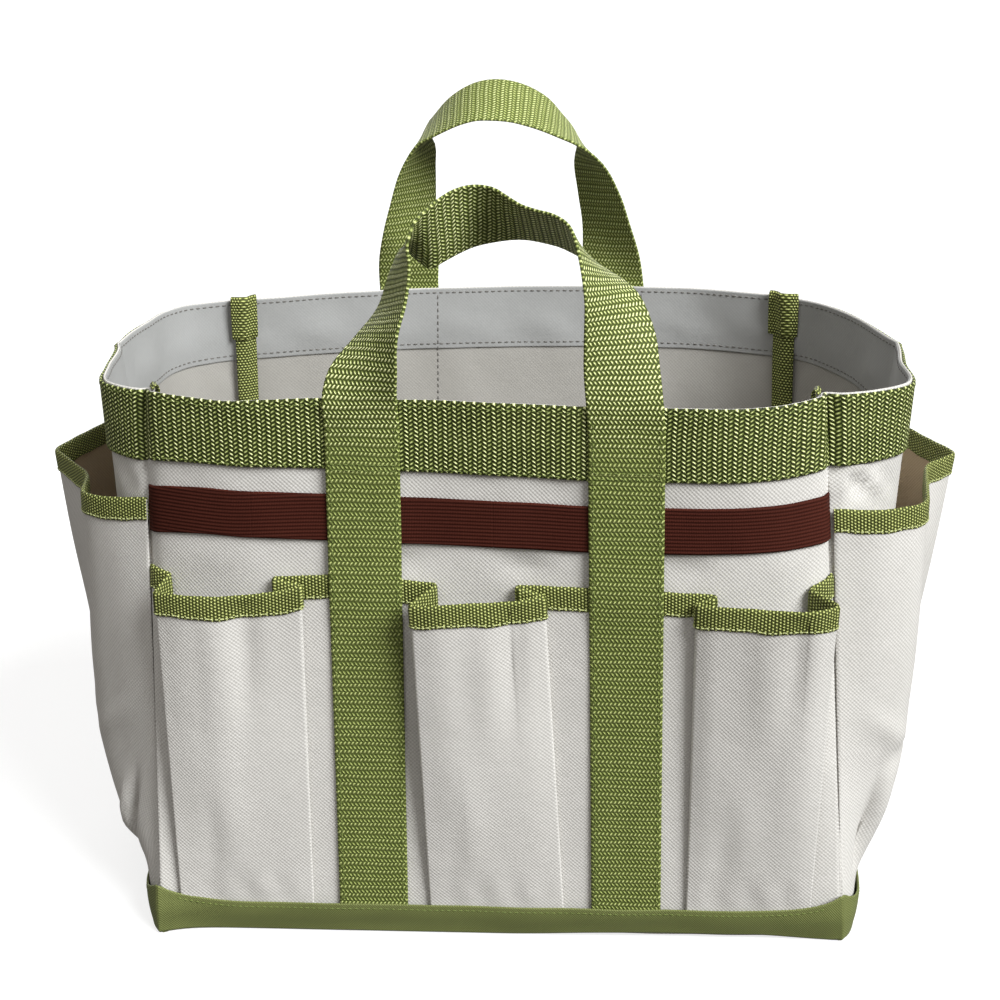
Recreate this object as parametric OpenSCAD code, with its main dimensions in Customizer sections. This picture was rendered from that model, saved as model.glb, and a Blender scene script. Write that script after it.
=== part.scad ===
// Open-topped garden tool bag: canvas body on a stiffened base, webbing
// straps that run on into two carrying handles, a webbing rim, pleated tool
// pockets on front and back, a bellows pocket on each end and elastic loops.
// Millimetres, +Z up, front towards -Y, origin at the middle of the underside.

/* [Body] */
// Width of the base between the corner seams
base_w = 380; // [340:2:420]
// Depth of the base between the corner seams
base_d = 245; // [220:1:270]
// Height of the rim above the floor
body_h = 306; // [290:1:330]
// Width of the rim between the corner seams
rim_w = 352; // [340:1:380]
// Depth of the rim between the corner seams
rim_d = 216; // [200:1:240]
// How far the front wall bows out at the rim
bow_front = 22; // [12:1:30]
// How far the back wall bows out at the rim
bow_back = 32; // [12:1:36]
// How far each end wall bows out at the rim
bow_end = 45; // [30:1:50]
// How far each end wall bows out at the base
bow_end_base = 8; // [4:1:12]
// Thickness of the canvas walls
canvas_t = 1.2; // [0.8:0.1:1.4]

/* [Base] */
// Height of the base band in the middle of a side
boot_h = 20; // [16:1:24]
// How much higher the base band stands at the corner seams
boot_rise = 9; // [0:1:12]
// Thickness of the stiffening board in the floor
board_t = 3; // [2:0.5:4]

/* [Webbing] */
// Width of the webbing
web_w = 38; // [36:1:40]
// Thickness of the webbing
web_t = 1.6; // [1.2:0.1:1.8]
// Strap centre from the middle of the bag, at the rim
strap_rim_x = 66; // [62:1:68]
// Strap centre from the middle of the bag, at the base
strap_base_x = 70; // [68:1:72]
// Height of the front handle above its fold
handle_front_h = 106; // [95:1:125]
// Height of the back handle above its fold
handle_back_h = 133; // [110:1:138]
// How far the top of the front handle leans in over the bag
lean_front = 34; // [0:1:40]
// How far the top of the back handle leans in over the bag
lean_back = 4; // [0:1:40]
// Turn of the webbing about its inner edge, from the rim to the top of a handle
handle_turn = 124; // [100:1:130]

/* [Front and back pockets] */
// Width of a pocket front
pocket_w = 72; // [66:1:74]
// Distance between pocket centres
pocket_pitch = 137; // [134:1:140]
// Height of the pocket mouth
pocket_h = 205; // [180:1:215]
// How far a pocket mouth stands off the wall
pocket_out = 20; // [14:1:24]
// Depth of each side pleat, measured along the wall
pleat_in = 12; // [8:1:16]
// Width of the folded binding tape
tape_w = 12; // [10:0.5:14]

/* [Elastic loops] */
// Lower edge of the elastic
elastic_z = 231; // [225:1:234]
// Width of the elastic
elastic_w = 25; // [20:1:26]

/* [End pockets] */
// Height of an end pocket's mouth
end_h = 246; // [220:1:255]
// How far an end pocket stands off its wall
end_out = 43; // [30:1:45]
// Half width of the swinging part of an end pocket at its mouth
end_half = 85; // [75:1:90]

/* [Hidden] */
cloth_t = 0.8;
gap = 0.3;
band_t = 1.5;
strap_o = 2.3;
cols = 24;
white = "#ddd8cc";
green = "#7c8f3f";
brown = "#4d2a20";

// ---- shape of the walls ------------------------------------------------
function mix(a, b, k) = a + (b - a) * k;
function ease(k) = let(q = min(1, max(0, k))) q * q * (3 - 2 * q);
function up(z) = z / body_h;
function half_w(z) = mix(base_w, rim_w, up(z)) / 2;
function half_d(z) = mix(base_d, rim_d, up(z)) / 2;
function bow(side) = side < 0 ? bow_front : bow_back;
// y of the front (side -1) or back (side 1) wall
function wall_y(side, x, z) =
    side * (half_d(z) + bow(side) * up(z) * (1 - pow(min(1, abs(x) / half_w(z)), 4)));
// x of the left (end -1) or right (end 1) wall
function wall_x(end, y, z) =
    end * (half_w(z) + mix(bow_end_base, bow_end, up(z)) * (1 - pow(min(1, abs(y) / (half_d(z) - 2)), 5)));
function on_wall(side, x, z, o) = [x, wall_y(side, x, z) + side * o, z];
function on_end(end, y, z, o) = [wall_x(end, y, z) + end * o, y, z];
function strap_x(z) = mix(strap_base_x, strap_rim_x, up(z));
function steps(a, b, n) = [for (i = [0:n]) mix(a, b, i / n)];

// ---- closed sheets -----------------------------------------------------
// a solid between two grids of points with the same rows and columns
module skin(a, b) {
    m = len(a);
    n = len(a[0]);
    k = m * n;
    polyhedron(
        concat([for (r = a) each r], [for (r = b) each r]),
        concat(
            [for (i = [0:m - 2], j = [0:n - 2]) let(p = i * n + j)
                each [[p, p + n + 1, p + 1], [p, p + n, p + n + 1]]],
            [for (i = [0:m - 2], j = [0:n - 2]) let(p = k + i * n + j)
                each [[p, p + 1, p + n + 1], [p, p + n + 1, p + n]]],
            [for (j = [0:n - 2]) each [[j, j + 1, k + j + 1], [j, k + j + 1, k + j]]],
            [for (j = [0:n - 2]) let(p = (m - 1) * n + j)
                each [[p, k + p + 1, p + 1], [p, k + p, k + p + 1]]],
            [for (i = [0:m - 2]) let(p = i * n)
                each [[p, k + p + n, p + n], [p, k + p, k + p + n]]],
            [for (i = [0:m - 2]) let(p = i * n + n - 1)
                each [[p, p + n, k + p + n], [p, k + p + n, k + p]]]
        ),
        convexity = 6);
}
// grid rows run up, columns run along +X (front, back) or +Y (ends)
module wall_sheet(side, out, inn) {
    if (side < 0) skin(out, inn); else skin(inn, out);
}
module end_sheet(end, out, inn) {
    if (end > 0) skin(out, inn); else skin(inn, out);
}

// a layer across the whole front or back wall, or across an end, less a margin
// at the seams, with rows at heights zs, from o0 to o1 outside the wall
module wall_piece(side, margin, zs, o0, o1) {
    g = function (o) [for (z = zs) [for (s = steps(-1, 1, cols))
        on_wall(side, s * (half_w(z) - margin), z, o)]];
    wall_sheet(side, g(o1), g(o0));
}
module end_piece(end, margin, zs, o0, o1) {
    g = function (o) [for (z = zs) [for (s = steps(-1, 1, cols))
        on_end(end, s * (half_d(z) - margin), z, o)]];
    end_sheet(end, g(o1), g(o0));
}
// a strip of the front or back wall layer, between two fixed x
module wall_strip(side, x0, x1, zs, o0, o1, n = 4) {
    g = function (o) [for (z = zs) [for (x = steps(x0, x1, n)) on_wall(side, x, z, o)]];
    wall_sheet(side, g(o1), g(o0));
}

// ---- canvas walls ------------------------------------------------------
panel_rows = steps(canvas_t + 0.4, body_h, 8);
module wall_panel(side) {
    color(white) wall_piece(side, 0.2, panel_rows, -canvas_t, 0);
}
module end_panel(end) {
    color(white) end_piece(end, canvas_t + 0.6, panel_rows, -canvas_t, 0);
}
module front_panel() { wall_panel(-1); }
module back_panel() { wall_panel(1); }
module left_end_panel() { end_panel(-1); }
module right_end_panel() { end_panel(1); }

// ---- base --------------------------------------------------------------
function boot_top(s) = boot_h + boot_rise * pow(abs(s), 12);
boot_s = concat(steps(-1, -0.8, 6), steps(-0.6, 0.6, 6), steps(0.8, 1, 6));
module boot_side(side) {
    g = function (o) [for (k = steps(0, 1, 3)) [for (s = boot_s)
        let(z = mix(canvas_t + 0.4, boot_top(s), k)) on_wall(side, s * (half_w(z) - 0.2), z, o)]];
    color(green) wall_sheet(side, g(gap + canvas_t), g(gap));
}
module boot_end(end) {
    g = function (o) [for (k = steps(0, 1, 3)) [for (s = boot_s)
        let(z = mix(canvas_t + 0.4, boot_top(s), k)) on_end(end, s * (half_d(z) - 2), z, o)]];
    color(green) end_sheet(end, g(gap + canvas_t), g(gap));
}
// underside, with the bands that stand up from its four sides
module base_panel() {
    color(green) linear_extrude(canvas_t) polygon(concat(
        [for (s = steps(-1, 1, cols)) [wall_x(1, s * base_d / 2, 0) + 1.2, s * (base_d / 2 + 1.4)]],
        [for (s = steps(1, -1, cols)) [wall_x(-1, s * base_d / 2, 0) - 1.2, s * (base_d / 2 + 1.4)]]));
}
module front_base_band() { boot_side(-1); }
module back_base_band() { boot_side(1); }
module left_base_band() { boot_end(-1); }
module right_base_band() { boot_end(1); }
module base_board() {
    color("#b9b2a2") translate([-base_w / 2 + 5, -base_d / 2 + 5, canvas_t + 0.3])
        cube([base_w - 10, base_d - 10, board_t]);
}
module floor_lining() {
    color("#cfcabd") translate([-base_w / 2 + 4, -base_d / 2 + 4, canvas_t + board_t + 0.6])
        cube([base_w - 8, base_d - 8, cloth_t]);
}

// ---- rim ---------------------------------------------------------------
rim_rows = steps(body_h - web_w + 1, body_h, 1);
module front_rim_band() { color(green) wall_piece(-1, 2, rim_rows, gap, gap + band_t); }
module back_rim_band() { color(green) wall_piece(1, 2, rim_rows, gap, gap + band_t); }
module left_rim_band() { color(green) end_piece(-1, 3, rim_rows, gap, gap + band_t); }
module right_rim_band() { color(green) end_piece(1, 3, rim_rows, gap, gap + band_t); }

// tape over the seam allowance inside a corner, its end turned over the rim
module corner_binding(side, end) {
    inner = canvas_t + 0.6;
    g = function (zs, x0, x1, o) [for (z = zs) [for (d = (end > 0 ? [x1, (x0 + x1) / 2, x0] : [x0, (x0 + x1) / 2, x1]))
        on_wall(side, end * (half_w(z) - d), z, -o)]];
    color(green) union() {
        wall_sheet(side, g(steps(10, body_h - 4, 4), 4, 14, inner), g(steps(10, body_h - 4, 4), 4, 14, inner + 2.2));
        wall_sheet(side, g([body_h - 24, body_h + 3], 3, 16, inner), g([body_h - 24, body_h + 3], 3, 16, inner + 3));
    }
}
module front_left_corner_binding() { corner_binding(-1, -1); }
module front_right_corner_binding() { corner_binding(-1, 1); }
module back_left_corner_binding() { corner_binding(1, -1); }
module back_right_corner_binding() { corner_binding(1, 1); }

// ---- straps and handles ------------------------------------------------
axis_z = body_h + 1;
strap_top = body_h - 4;
module strap(side, end) {
    g = function (o) [for (z = steps(boot_h + 0.8, strap_top, 8)) [for (u = steps(-web_w / 2, web_w / 2, 4))
        on_wall(side, end * strap_x(z) + u, z, o)]];
    color(green) wall_sheet(side, g(strap_o + web_t), g(strap_o));
}
module front_left_strap() { strap(-1, -1); }
module front_right_strap() { strap(-1, 1); }
module back_left_strap() { strap(1, -1); }
module back_right_strap() { strap(1, 1); }

// y of the line about which a handle folds at the rim
function fold_y(side) = wall_y(side, strap_rim_x, body_h) + side * (strap_o + web_t / 2);
function handle_h(side) = side < 0 ? handle_front_h : handle_back_h;
function lean(side) = side < 0 ? lean_front : lean_back;
// inner edge of a standing handle: a squared arch from leg to leg, leaning in
handle_a = strap_rim_x - web_w / 2;
function arch(side, f) = let(k = pow(abs(sin(f)), 0.5)) [
    -handle_a * sign(cos(f)) * pow(abs(cos(f)), 0.5), -side * lean(side) * k * k, handle_h(side) * k];
function arch_dir(side, f) = let(d = arch(side, min(180, f + 0.5)) - arch(side, max(0, f - 0.5))) d / norm(d);
// direction across the webbing, from its inner to its outer edge: outwards at
// the rim, inwards over the bag and a little down at the top
function across(side, f) = let(t = arch_dir(side, f), n = norm([t[0], t[2]]),
    r = ease((arch(side, f)[2] / handle_h(side) - 0.05) / 0.95) * handle_turn)
    cos(r) * [-t[2], 0, t[0]] / n + sin(r) * [0, -side, 0];
handle_f = [0, 0.5, 3, 8, 14, 20, 27, 34, 40, 45, 50, 56, 64, 76, 90,
    104, 116, 124, 130, 135, 140, 146, 153, 160, 166, 172, 177, 179.5, 180];
module handle(side) {
    lift = [0, fold_y(side), axis_z];
    side_dir = function (f) let(n = cross(across(side, f), arch_dir(side, f))) n / norm(n);
    g = function (k) [for (f = handle_f) [for (w = steps(0, web_w, 2))
        lift + arch(side, f) + across(side, f) * w + side_dir(f) * k * web_t / 2]];
    // the legs end in a rounded root on the fold line
    color(green) union() {
        skin(g(1), g(-1));
        for (e = [-1, 1])
            translate([e * strap_rim_x - web_w / 2, fold_y(side), axis_z]) rotate([0, 90, 0])
                cylinder(h = web_w, r = web_t / 2 + 0.3, $fn = 32);
    }
}
module front_handle() { handle(-1); }
module back_handle() { handle(1); }

// ---- front and back pockets --------------------------------------------
pocket_z0 = boot_h + 1;
fold_x = pocket_w / 2 - pleat_in;
function pocket_d(z) = mix(3.6, pocket_out, pow((z - pocket_z0) / (pocket_h - pocket_z0), 0.9));
pocket_rows = steps(pocket_z0, pocket_h, 6);
// flat stretches of the pocket strip, sewn down between and beside the fronts
web_spans = function (z) [
    [-half_w(z) + 2.5, -pocket_pitch - fold_x], [-pocket_pitch + fold_x, -fold_x],
    [fold_x, pocket_pitch - fold_x], [pocket_pitch + fold_x, half_w(z) - 2.5]];
module pocket_web(side) {
    color(white) for (k = [0:3]) {
        foot = web_spans(pocket_z0)[k];
        g = function (o) [for (t = steps(0, 1, 6)) [for (q = steps(0, 1, 6)) let(
            low = boot_top(min(1, abs(mix(foot[0], foot[1], q)) / half_w(pocket_z0))) + 1,
            z = mix(low, pocket_h + 3, t), span = web_spans(z)[k])
            on_wall(side, mix(span[0], span[1], q), z, o)]];
        wall_sheet(side, g(gap + cloth_t - 0.1), g(gap - 0.1));
    }
}
module web_binding(side) {
    color(green) for (k = [0:3]) {
        g = function (o) [for (z = [pocket_h + 3.4 - tape_w, pocket_h + 3.4]) [for (x = steps(web_spans(z)[k][0], web_spans(z)[k][1], 6))
            on_wall(side, x, z, o)]];
        wall_sheet(side, g(gap + 1.5), g(gap + 0.85));
    }
}
module front_pocket_web() { pocket_web(-1); }
module back_pocket_web() { pocket_web(1); }
module front_web_binding() { web_binding(-1); }
module back_web_binding() { web_binding(1); }

module pocket_front(side, k) {
    g = function (o) [for (z = pocket_rows) [for (x = steps(k * pocket_pitch - pocket_w / 2, k * pocket_pitch + pocket_w / 2, 6))
        on_wall(side, x, z, pocket_d(z) + o)]];
    color(white) wall_sheet(side, g(cloth_t), g(0));
}
module pocket_binding(side, k) {
    g = function (o) [for (z = [pocket_h - tape_w, pocket_h + 0.6]) [for (x = steps(k * pocket_pitch - pocket_w / 2, k * pocket_pitch + pocket_w / 2, 6))
        on_wall(side, x, z, pocket_d(z) + o)]];
    color(green) wall_sheet(side, g(cloth_t + 1.1), g(cloth_t + 0.2));
}
// the two folds that join a pocket front to the flat strip behind it
module pleats(side, k) {
    color(white) for (e = [-1, 1]) {
        x0 = k * pocket_pitch + e * (fold_x + 0.6);
        x1 = k * pocket_pitch + e * (pocket_w / 2 - 0.6);
        p = function (o0, o1) [for (z = pocket_rows) let(
            a = on_wall(side, x0, z, o0), b = on_wall(side, x1, z, pocket_d(z) - o1))
            e > 0 ? [a, b] : [b, a]];
        wall_sheet(side, p(2.9, 0.5), p(2.1, 1.3));
    }
}
module front_left_pocket() { pocket_front(-1, -1); }
module front_centre_pocket() { pocket_front(-1, 0); }
module front_right_pocket() { pocket_front(-1, 1); }
module back_left_pocket() { pocket_front(1, -1); }
module back_centre_pocket() { pocket_front(1, 0); }
module back_right_pocket() { pocket_front(1, 1); }
module front_left_pocket_binding() { pocket_binding(-1, -1); }
module front_centre_pocket_binding() { pocket_binding(-1, 0); }
module front_right_pocket_binding() { pocket_binding(-1, 1); }
module back_left_pocket_binding() { pocket_binding(1, -1); }
module back_centre_pocket_binding() { pocket_binding(1, 0); }
module back_right_pocket_binding() { pocket_binding(1, 1); }
module front_left_pleats() { pleats(-1, -1); }
module front_centre_pleats() { pleats(-1, 0); }
module front_right_pleats() { pleats(-1, 1); }
module back_left_pleats() { pleats(1, -1); }
module back_centre_pleats() { pleats(1, 0); }
module back_right_pleats() { pleats(1, 1); }

// ---- end pockets -------------------------------------------------------
// rows run from the top of the base band (k 0) to the mouth (k 1)
function end_z(y, k) = mix(boot_top(min(1, abs(y) / (base_d / 2))) + 1, end_h, k);
function belly(k) = 1 - pow(1 - k, 7);
// half width of the swinging part, and its stand-off at its edge and middle
function swing_y(k) = mix(100, end_half, k);
function edge_o(k) = mix(3, 17, belly(k));
function mid_o(k) = mix(3, end_out, belly(k));
end_rows = [0, 0.02, 0.05, 0.1, 0.17, 0.28, 0.45, 0.7, 1];
tape_rows = [1 - tape_w / (end_h - boot_h), 1];
function swing_pt(end, s, k, o) = let(y = s * swing_y(k), z = end_z(y, k))
    [end * (wall_x(1, y, z) + mix(mid_o(k), edge_o(k), pow(abs(s), 1.3)) + o), y, z];
module end_pocket(end) {
    g = function (o) [for (k = end_rows) [for (s = steps(-1, 1, 12)) swing_pt(end, s, k, o)]];
    color(white) end_sheet(end, g(cloth_t), g(0));
}
module end_binding(end) {
    g = function (o) [for (k = tape_rows) [for (s = steps(-1, 1, 12)) swing_pt(end, s, k, o)]];
    color(green) end_sheet(end, g(cloth_t + 1.2), g(cloth_t + 0.25));
}
// side folds between the corner seams and the swinging part
module end_gussets(end) {
    color(white) for (e = [-1, 1]) {
        g = function (o) [for (k = end_rows) let(
            ya = half_d(end_z(base_d / 2, k)) - 3,
            za = end_z(base_d / 2, k),
            a = [end * (wall_x(1, ya, za) + 2.6 + o), e * ya, za],
            b = swing_pt(end, e, k, o - 0.2) + [0, e * 0.6, 0])
            [for (q = (e < 0 ? [0, 0.5, 1] : [1, 0.5, 0])) mix(a, b, q) + [end * 2 * (1 - pow(2 * q - 1, 2)), 0, 0]]];
        end_sheet(end, g(cloth_t), g(0));
    }
}
module left_end_pocket() { end_pocket(-1); }
module right_end_pocket() { end_pocket(1); }
module left_end_pocket_binding() { end_binding(-1); }
module right_end_pocket_binding() { end_binding(1); }
module left_end_gussets() { end_gussets(-1); }
module right_end_gussets() { end_gussets(1); }

// ---- elastic loops -----------------------------------------------------
elastic_rows = [elastic_z, elastic_z + elastic_w];
module elastic(side, k) {
    z = elastic_z;
    lo = strap_x(z) - web_w / 2 - 0.8;
    hi = strap_x(z) + web_w / 2 + 0.8;
    x0 = k < 0 ? -half_w(z) + 3.5 : k == 0 ? -lo : hi;
    x1 = k < 0 ? -hi : k == 0 ? lo : half_w(z) - 3.5;
    color(brown) wall_strip(side, x0, x1, elastic_rows, gap + 0.1, gap + 1.3, 8);
}
module front_left_elastic() { elastic(-1, -1); }
module front_centre_elastic() { elastic(-1, 0); }
module front_right_elastic() { elastic(-1, 1); }
module back_left_elastic() { elastic(1, -1); }
module back_centre_elastic() { elastic(1, 0); }
module back_right_elastic() { elastic(1, 1); }

front_panel();
back_panel();
left_end_panel();
right_end_panel();
base_panel();
front_base_band();
back_base_band();
left_base_band();
right_base_band();
base_board();
floor_lining();
front_rim_band();
back_rim_band();
left_rim_band();
right_rim_band();
front_left_corner_binding();
front_right_corner_binding();
back_left_corner_binding();
back_right_corner_binding();
front_left_strap();
front_right_strap();
back_left_strap();
back_right_strap();
front_handle();
back_handle();
front_pocket_web();
back_pocket_web();
front_web_binding();
back_web_binding();
front_left_pocket();
front_centre_pocket();
front_right_pocket();
back_left_pocket();
back_centre_pocket();
back_right_pocket();
front_left_pocket_binding();
front_centre_pocket_binding();
front_right_pocket_binding();
back_left_pocket_binding();
back_centre_pocket_binding();
back_right_pocket_binding();
front_left_pleats();
front_centre_pleats();
front_right_pleats();
back_left_pleats();
back_centre_pleats();
back_right_pleats();
left_end_pocket();
right_end_pocket();
left_end_pocket_binding();
right_end_pocket_binding();
left_end_gussets();
right_end_gussets();
front_left_elastic();
front_centre_elastic();
front_right_elastic();
back_left_elastic();
back_centre_elastic();
back_right_elastic();
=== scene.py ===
import math

import bpy
import numpy as np
from mathutils import Matrix, Vector


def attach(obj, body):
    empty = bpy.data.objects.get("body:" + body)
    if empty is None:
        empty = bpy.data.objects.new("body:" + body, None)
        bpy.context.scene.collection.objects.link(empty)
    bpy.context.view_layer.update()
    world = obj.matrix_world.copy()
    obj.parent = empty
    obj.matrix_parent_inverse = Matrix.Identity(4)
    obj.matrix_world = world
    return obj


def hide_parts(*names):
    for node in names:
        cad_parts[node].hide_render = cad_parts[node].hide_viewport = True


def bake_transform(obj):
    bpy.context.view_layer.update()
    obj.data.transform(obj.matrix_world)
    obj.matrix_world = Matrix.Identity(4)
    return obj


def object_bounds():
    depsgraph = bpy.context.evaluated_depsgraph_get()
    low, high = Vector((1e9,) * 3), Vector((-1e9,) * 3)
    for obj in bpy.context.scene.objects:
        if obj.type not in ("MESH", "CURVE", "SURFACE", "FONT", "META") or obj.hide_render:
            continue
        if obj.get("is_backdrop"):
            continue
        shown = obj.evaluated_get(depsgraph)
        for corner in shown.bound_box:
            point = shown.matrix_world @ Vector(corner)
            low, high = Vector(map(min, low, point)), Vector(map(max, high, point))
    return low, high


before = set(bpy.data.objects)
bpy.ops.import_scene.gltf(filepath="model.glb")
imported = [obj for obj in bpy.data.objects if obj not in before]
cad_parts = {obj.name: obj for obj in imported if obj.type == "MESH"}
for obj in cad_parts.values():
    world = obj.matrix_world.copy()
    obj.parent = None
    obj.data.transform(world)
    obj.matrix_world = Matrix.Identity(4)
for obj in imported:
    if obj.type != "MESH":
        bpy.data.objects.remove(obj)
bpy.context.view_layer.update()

# The bag is drawn in millimetres in numpy and written to Blender in metres.
scene = bpy.context.scene
H = 307.0          # height of the rim
rng = np.random.default_rng(7)


def A(*v):
    return np.array(v, float)


def mix(a, b, k):
    return a + (b - a) * k


def ease(k):
    k = np.clip(k, 0, 1)
    return k * k * (3 - 2 * k)


def unit(v):
    return v / np.maximum(np.linalg.norm(v, axis=-1, keepdims=True), 1e-9)


def gauss(x, c, w):
    return np.exp(-((x - c) / w) ** 2)


def crv(t, kt, kv):
    """Smooth curve through knots; kv is (n,) or (n, d)."""
    kt, kv = np.asarray(kt, float), np.asarray(kv, float)
    flat = kv.ndim == 1
    if flat:
        kv = kv[:, None]
    h = np.diff(kt)
    d = np.diff(kv, axis=0) / h[:, None]
    m = np.empty_like(kv)
    m[0], m[-1] = d[0], d[-1]
    m[1:-1] = (d[:-1] * h[1:, None] + d[1:] * h[:-1, None]) / (h[:-1] + h[1:])[:, None]
    t = np.asarray(t, float)
    s = t.ravel()
    i = np.clip(np.searchsorted(kt, s) - 1, 0, len(kt) - 2)
    u = ((s - kt[i]) / h[i])[:, None]
    hh = h[i][:, None]
    out = ((2 * u**3 - 3 * u**2 + 1) * kv[i] + (u**3 - 2 * u**2 + u) * hh * m[i]
           + (-2 * u**3 + 3 * u**2) * kv[i + 1] + (u**3 - u**2) * hh * m[i + 1])
    out = out.reshape(t.shape + (kv.shape[1],))
    return out[..., 0] if flat else out


def rows(a, b, step, e=0.7):
    """Samples from a to b with a close pair at each border."""
    s = 1 if b > a else -1
    n = max(2, int(round(abs(b - a) / step)))
    return np.concatenate([[a], np.linspace(a + s * e, b - s * e, n), [b]])


# ---------------------------------------------------------------- walls
RIM = {
    "F": A((-181, -104, 308.5), (-170, -111, 308.9), (-158, -116.5, 308.6), (-135, -123, 308), (-115, -124.5, 309.3),
           (-92, -125, 310.3), (-46, -126, 309.8), (-6, -127.5, 309.8), (47, -132, 308.7), (83, -134, 308.2),
           (110, -133.5, 308.2), (127, -131.5, 307.9), (147, -125, 307.8), (160, -117, 308.6), (170, -107, 308.5)),
    "B": A((-170, 106, 308), (-130, 120, 308), (-86, 132, 308), (-50, 139.5, 308), (-9, 143, 308), (43, 145.5, 308),
           (83, 143.5, 308), (120, 137, 308), (150, 127, 308), (173, 116, 308)),
    "L": A((-181, -104, 308.5), (-194.5, -95.5, 308.2), (-205, -85.5, 308), (-212.5, -55, 308), (-218.5, -15, 307.6),
           (-219.5, 20, 308), (-216.5, 47, 308), (-212.5, 75, 308), (-204.5, 88.5, 308), (-190.5, 96.5, 308), (-170, 106, 308)),
    "R": A((170, -107, 308.5), (194, -97.5, 308.2), (212, -85, 308), (217.5, -40, 308), (219.5, 8, 307.6), (212.5, 45, 308),
           (203, 73, 308), (190, 96.5, 308), (173, 116, 308)),
}
SEAMS = {"F": (-181, 170), "B": (-170, 173)}
KNOT = {}
for f_, r_ in RIM.items():
    if f_ in "FB":
        KNOT[f_] = (r_[:, 0] - r_[0, 0]) / (r_[-1, 0] - r_[0, 0])
    else:
        l_ = np.r_[0, np.cumsum(np.linalg.norm(np.diff(r_[:, :2], axis=0), axis=1))]
        KNOT[f_] = l_ / l_[-1]
LEN = {"L": 262.0, "R": 262.0}
SIGN = {"F": 1, "B": -1, "L": -1, "R": 1}


def seam_x(face, z):
    k = z / H
    a, b = SEAMS[face]
    return mix(-190.0, a, k), mix(190.0, b, k)


def surf(face, a, z):
    """Bare wall: a is x on the front and back, and 0 to 1 from front to back seam on the ends."""
    k = z / H
    if face in "FB":
        xl, xr = seam_x(face, z)
        s = np.clip((a - xl) / (xr - xl), 0, 1)
        rim = crv(s, KNOT[face], RIM[face])
        side = -1 if face == "F" else 1
        yb = side * (122.5 + 1.5 * (1 - (2 * s - 1) ** 4) + 3.0 * np.abs(2 * s - 1) ** 18)
        y = mix(yb, rim[..., 1], k)
        if face == "F":
            y = y - 5.0 * np.abs(2 * s - 1) ** 12 * (s < 0.5) * np.exp(-(z / 40) ** 2)
        return np.stack([a, y, z * rim[..., 2] / H], -1)
    rim = crv(np.clip(a, 0, 1), KNOT[face], RIM[face])
    end = -1 if face == "L" else 1
    yb = (-122.5 + 245 * np.clip(a, 0, 1)) * (125.5 / 122.5)
    xb = end * (190 + 10 * (1 - np.abs(yb / 125.5) ** 8))
    y = mix(yb, rim[..., 1], k)
    if face == "L":
        y = y - 5.0 * (1 - np.clip(a, 0, 1)) ** 10 * np.exp(-(z / 40) ** 2)
    return np.stack([mix(xb, rim[..., 0], k), y, z * rim[..., 2] / H], -1)


def seam_gap(face, a, z):
    if face in "FB":
        xl, xr = seam_x(face, z)
        return np.minimum(a - xl, xr - a)
    return np.minimum(a, 1 - a) * LEN[face]


def wave(face, a, z):
    """Gentle unevenness that every layer on a wall shares."""
    k = z / H
    if face in "FB":
        x = a
        w = k**3 * (0.8 * np.sin(x / 17 + 0.7) + 0.5 * np.sin(x / 9.3 + 2)) + 0.6 * np.sin(x / 31 + z / 47 + 1) * k
        w = w + 1.0 * gauss(x, 118, 26) * gauss(z, 268, 22) - 0.9 * gauss(x, 20, 18) * gauss(z, 262, 25)
        return w * (1 if face == "F" else 0.9)
    y = (a - 0.5) * 245
    w = k**2 * 0.8 * np.sin(y / 15 + (0.4 if face == "L" else 2.1))
    c = 0.46 if face == "L" else 0.52
    return w + k**2 * 2.4 * np.exp(-np.abs(a - c) / 0.03)


def normal(face, a, z):
    e = 0.5 if face in "FB" else 0.002
    n = np.cross(surf(face, a + e, z) - surf(face, a - e, z), surf(face, a, z + 1) - surf(face, a, z - 1))
    return unit(n) * SIGN[face]


def W(face, a, z, o=0.0):
    a, z, o = np.broadcast_arrays(np.asarray(a, float), np.asarray(z, float), np.asarray(o, float))
    n = normal(face, a, z)
    d = o + wave(face, a, z) - (0.9 + 1.3 * np.clip(z / 60, 0, 1) + 2.8 * (z / H) ** 4) * np.exp(-(np.maximum(seam_gap(face, a, z), 0) / 3.4) ** 2)
    return surf(face, a, z) + n * d[..., None]


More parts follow.
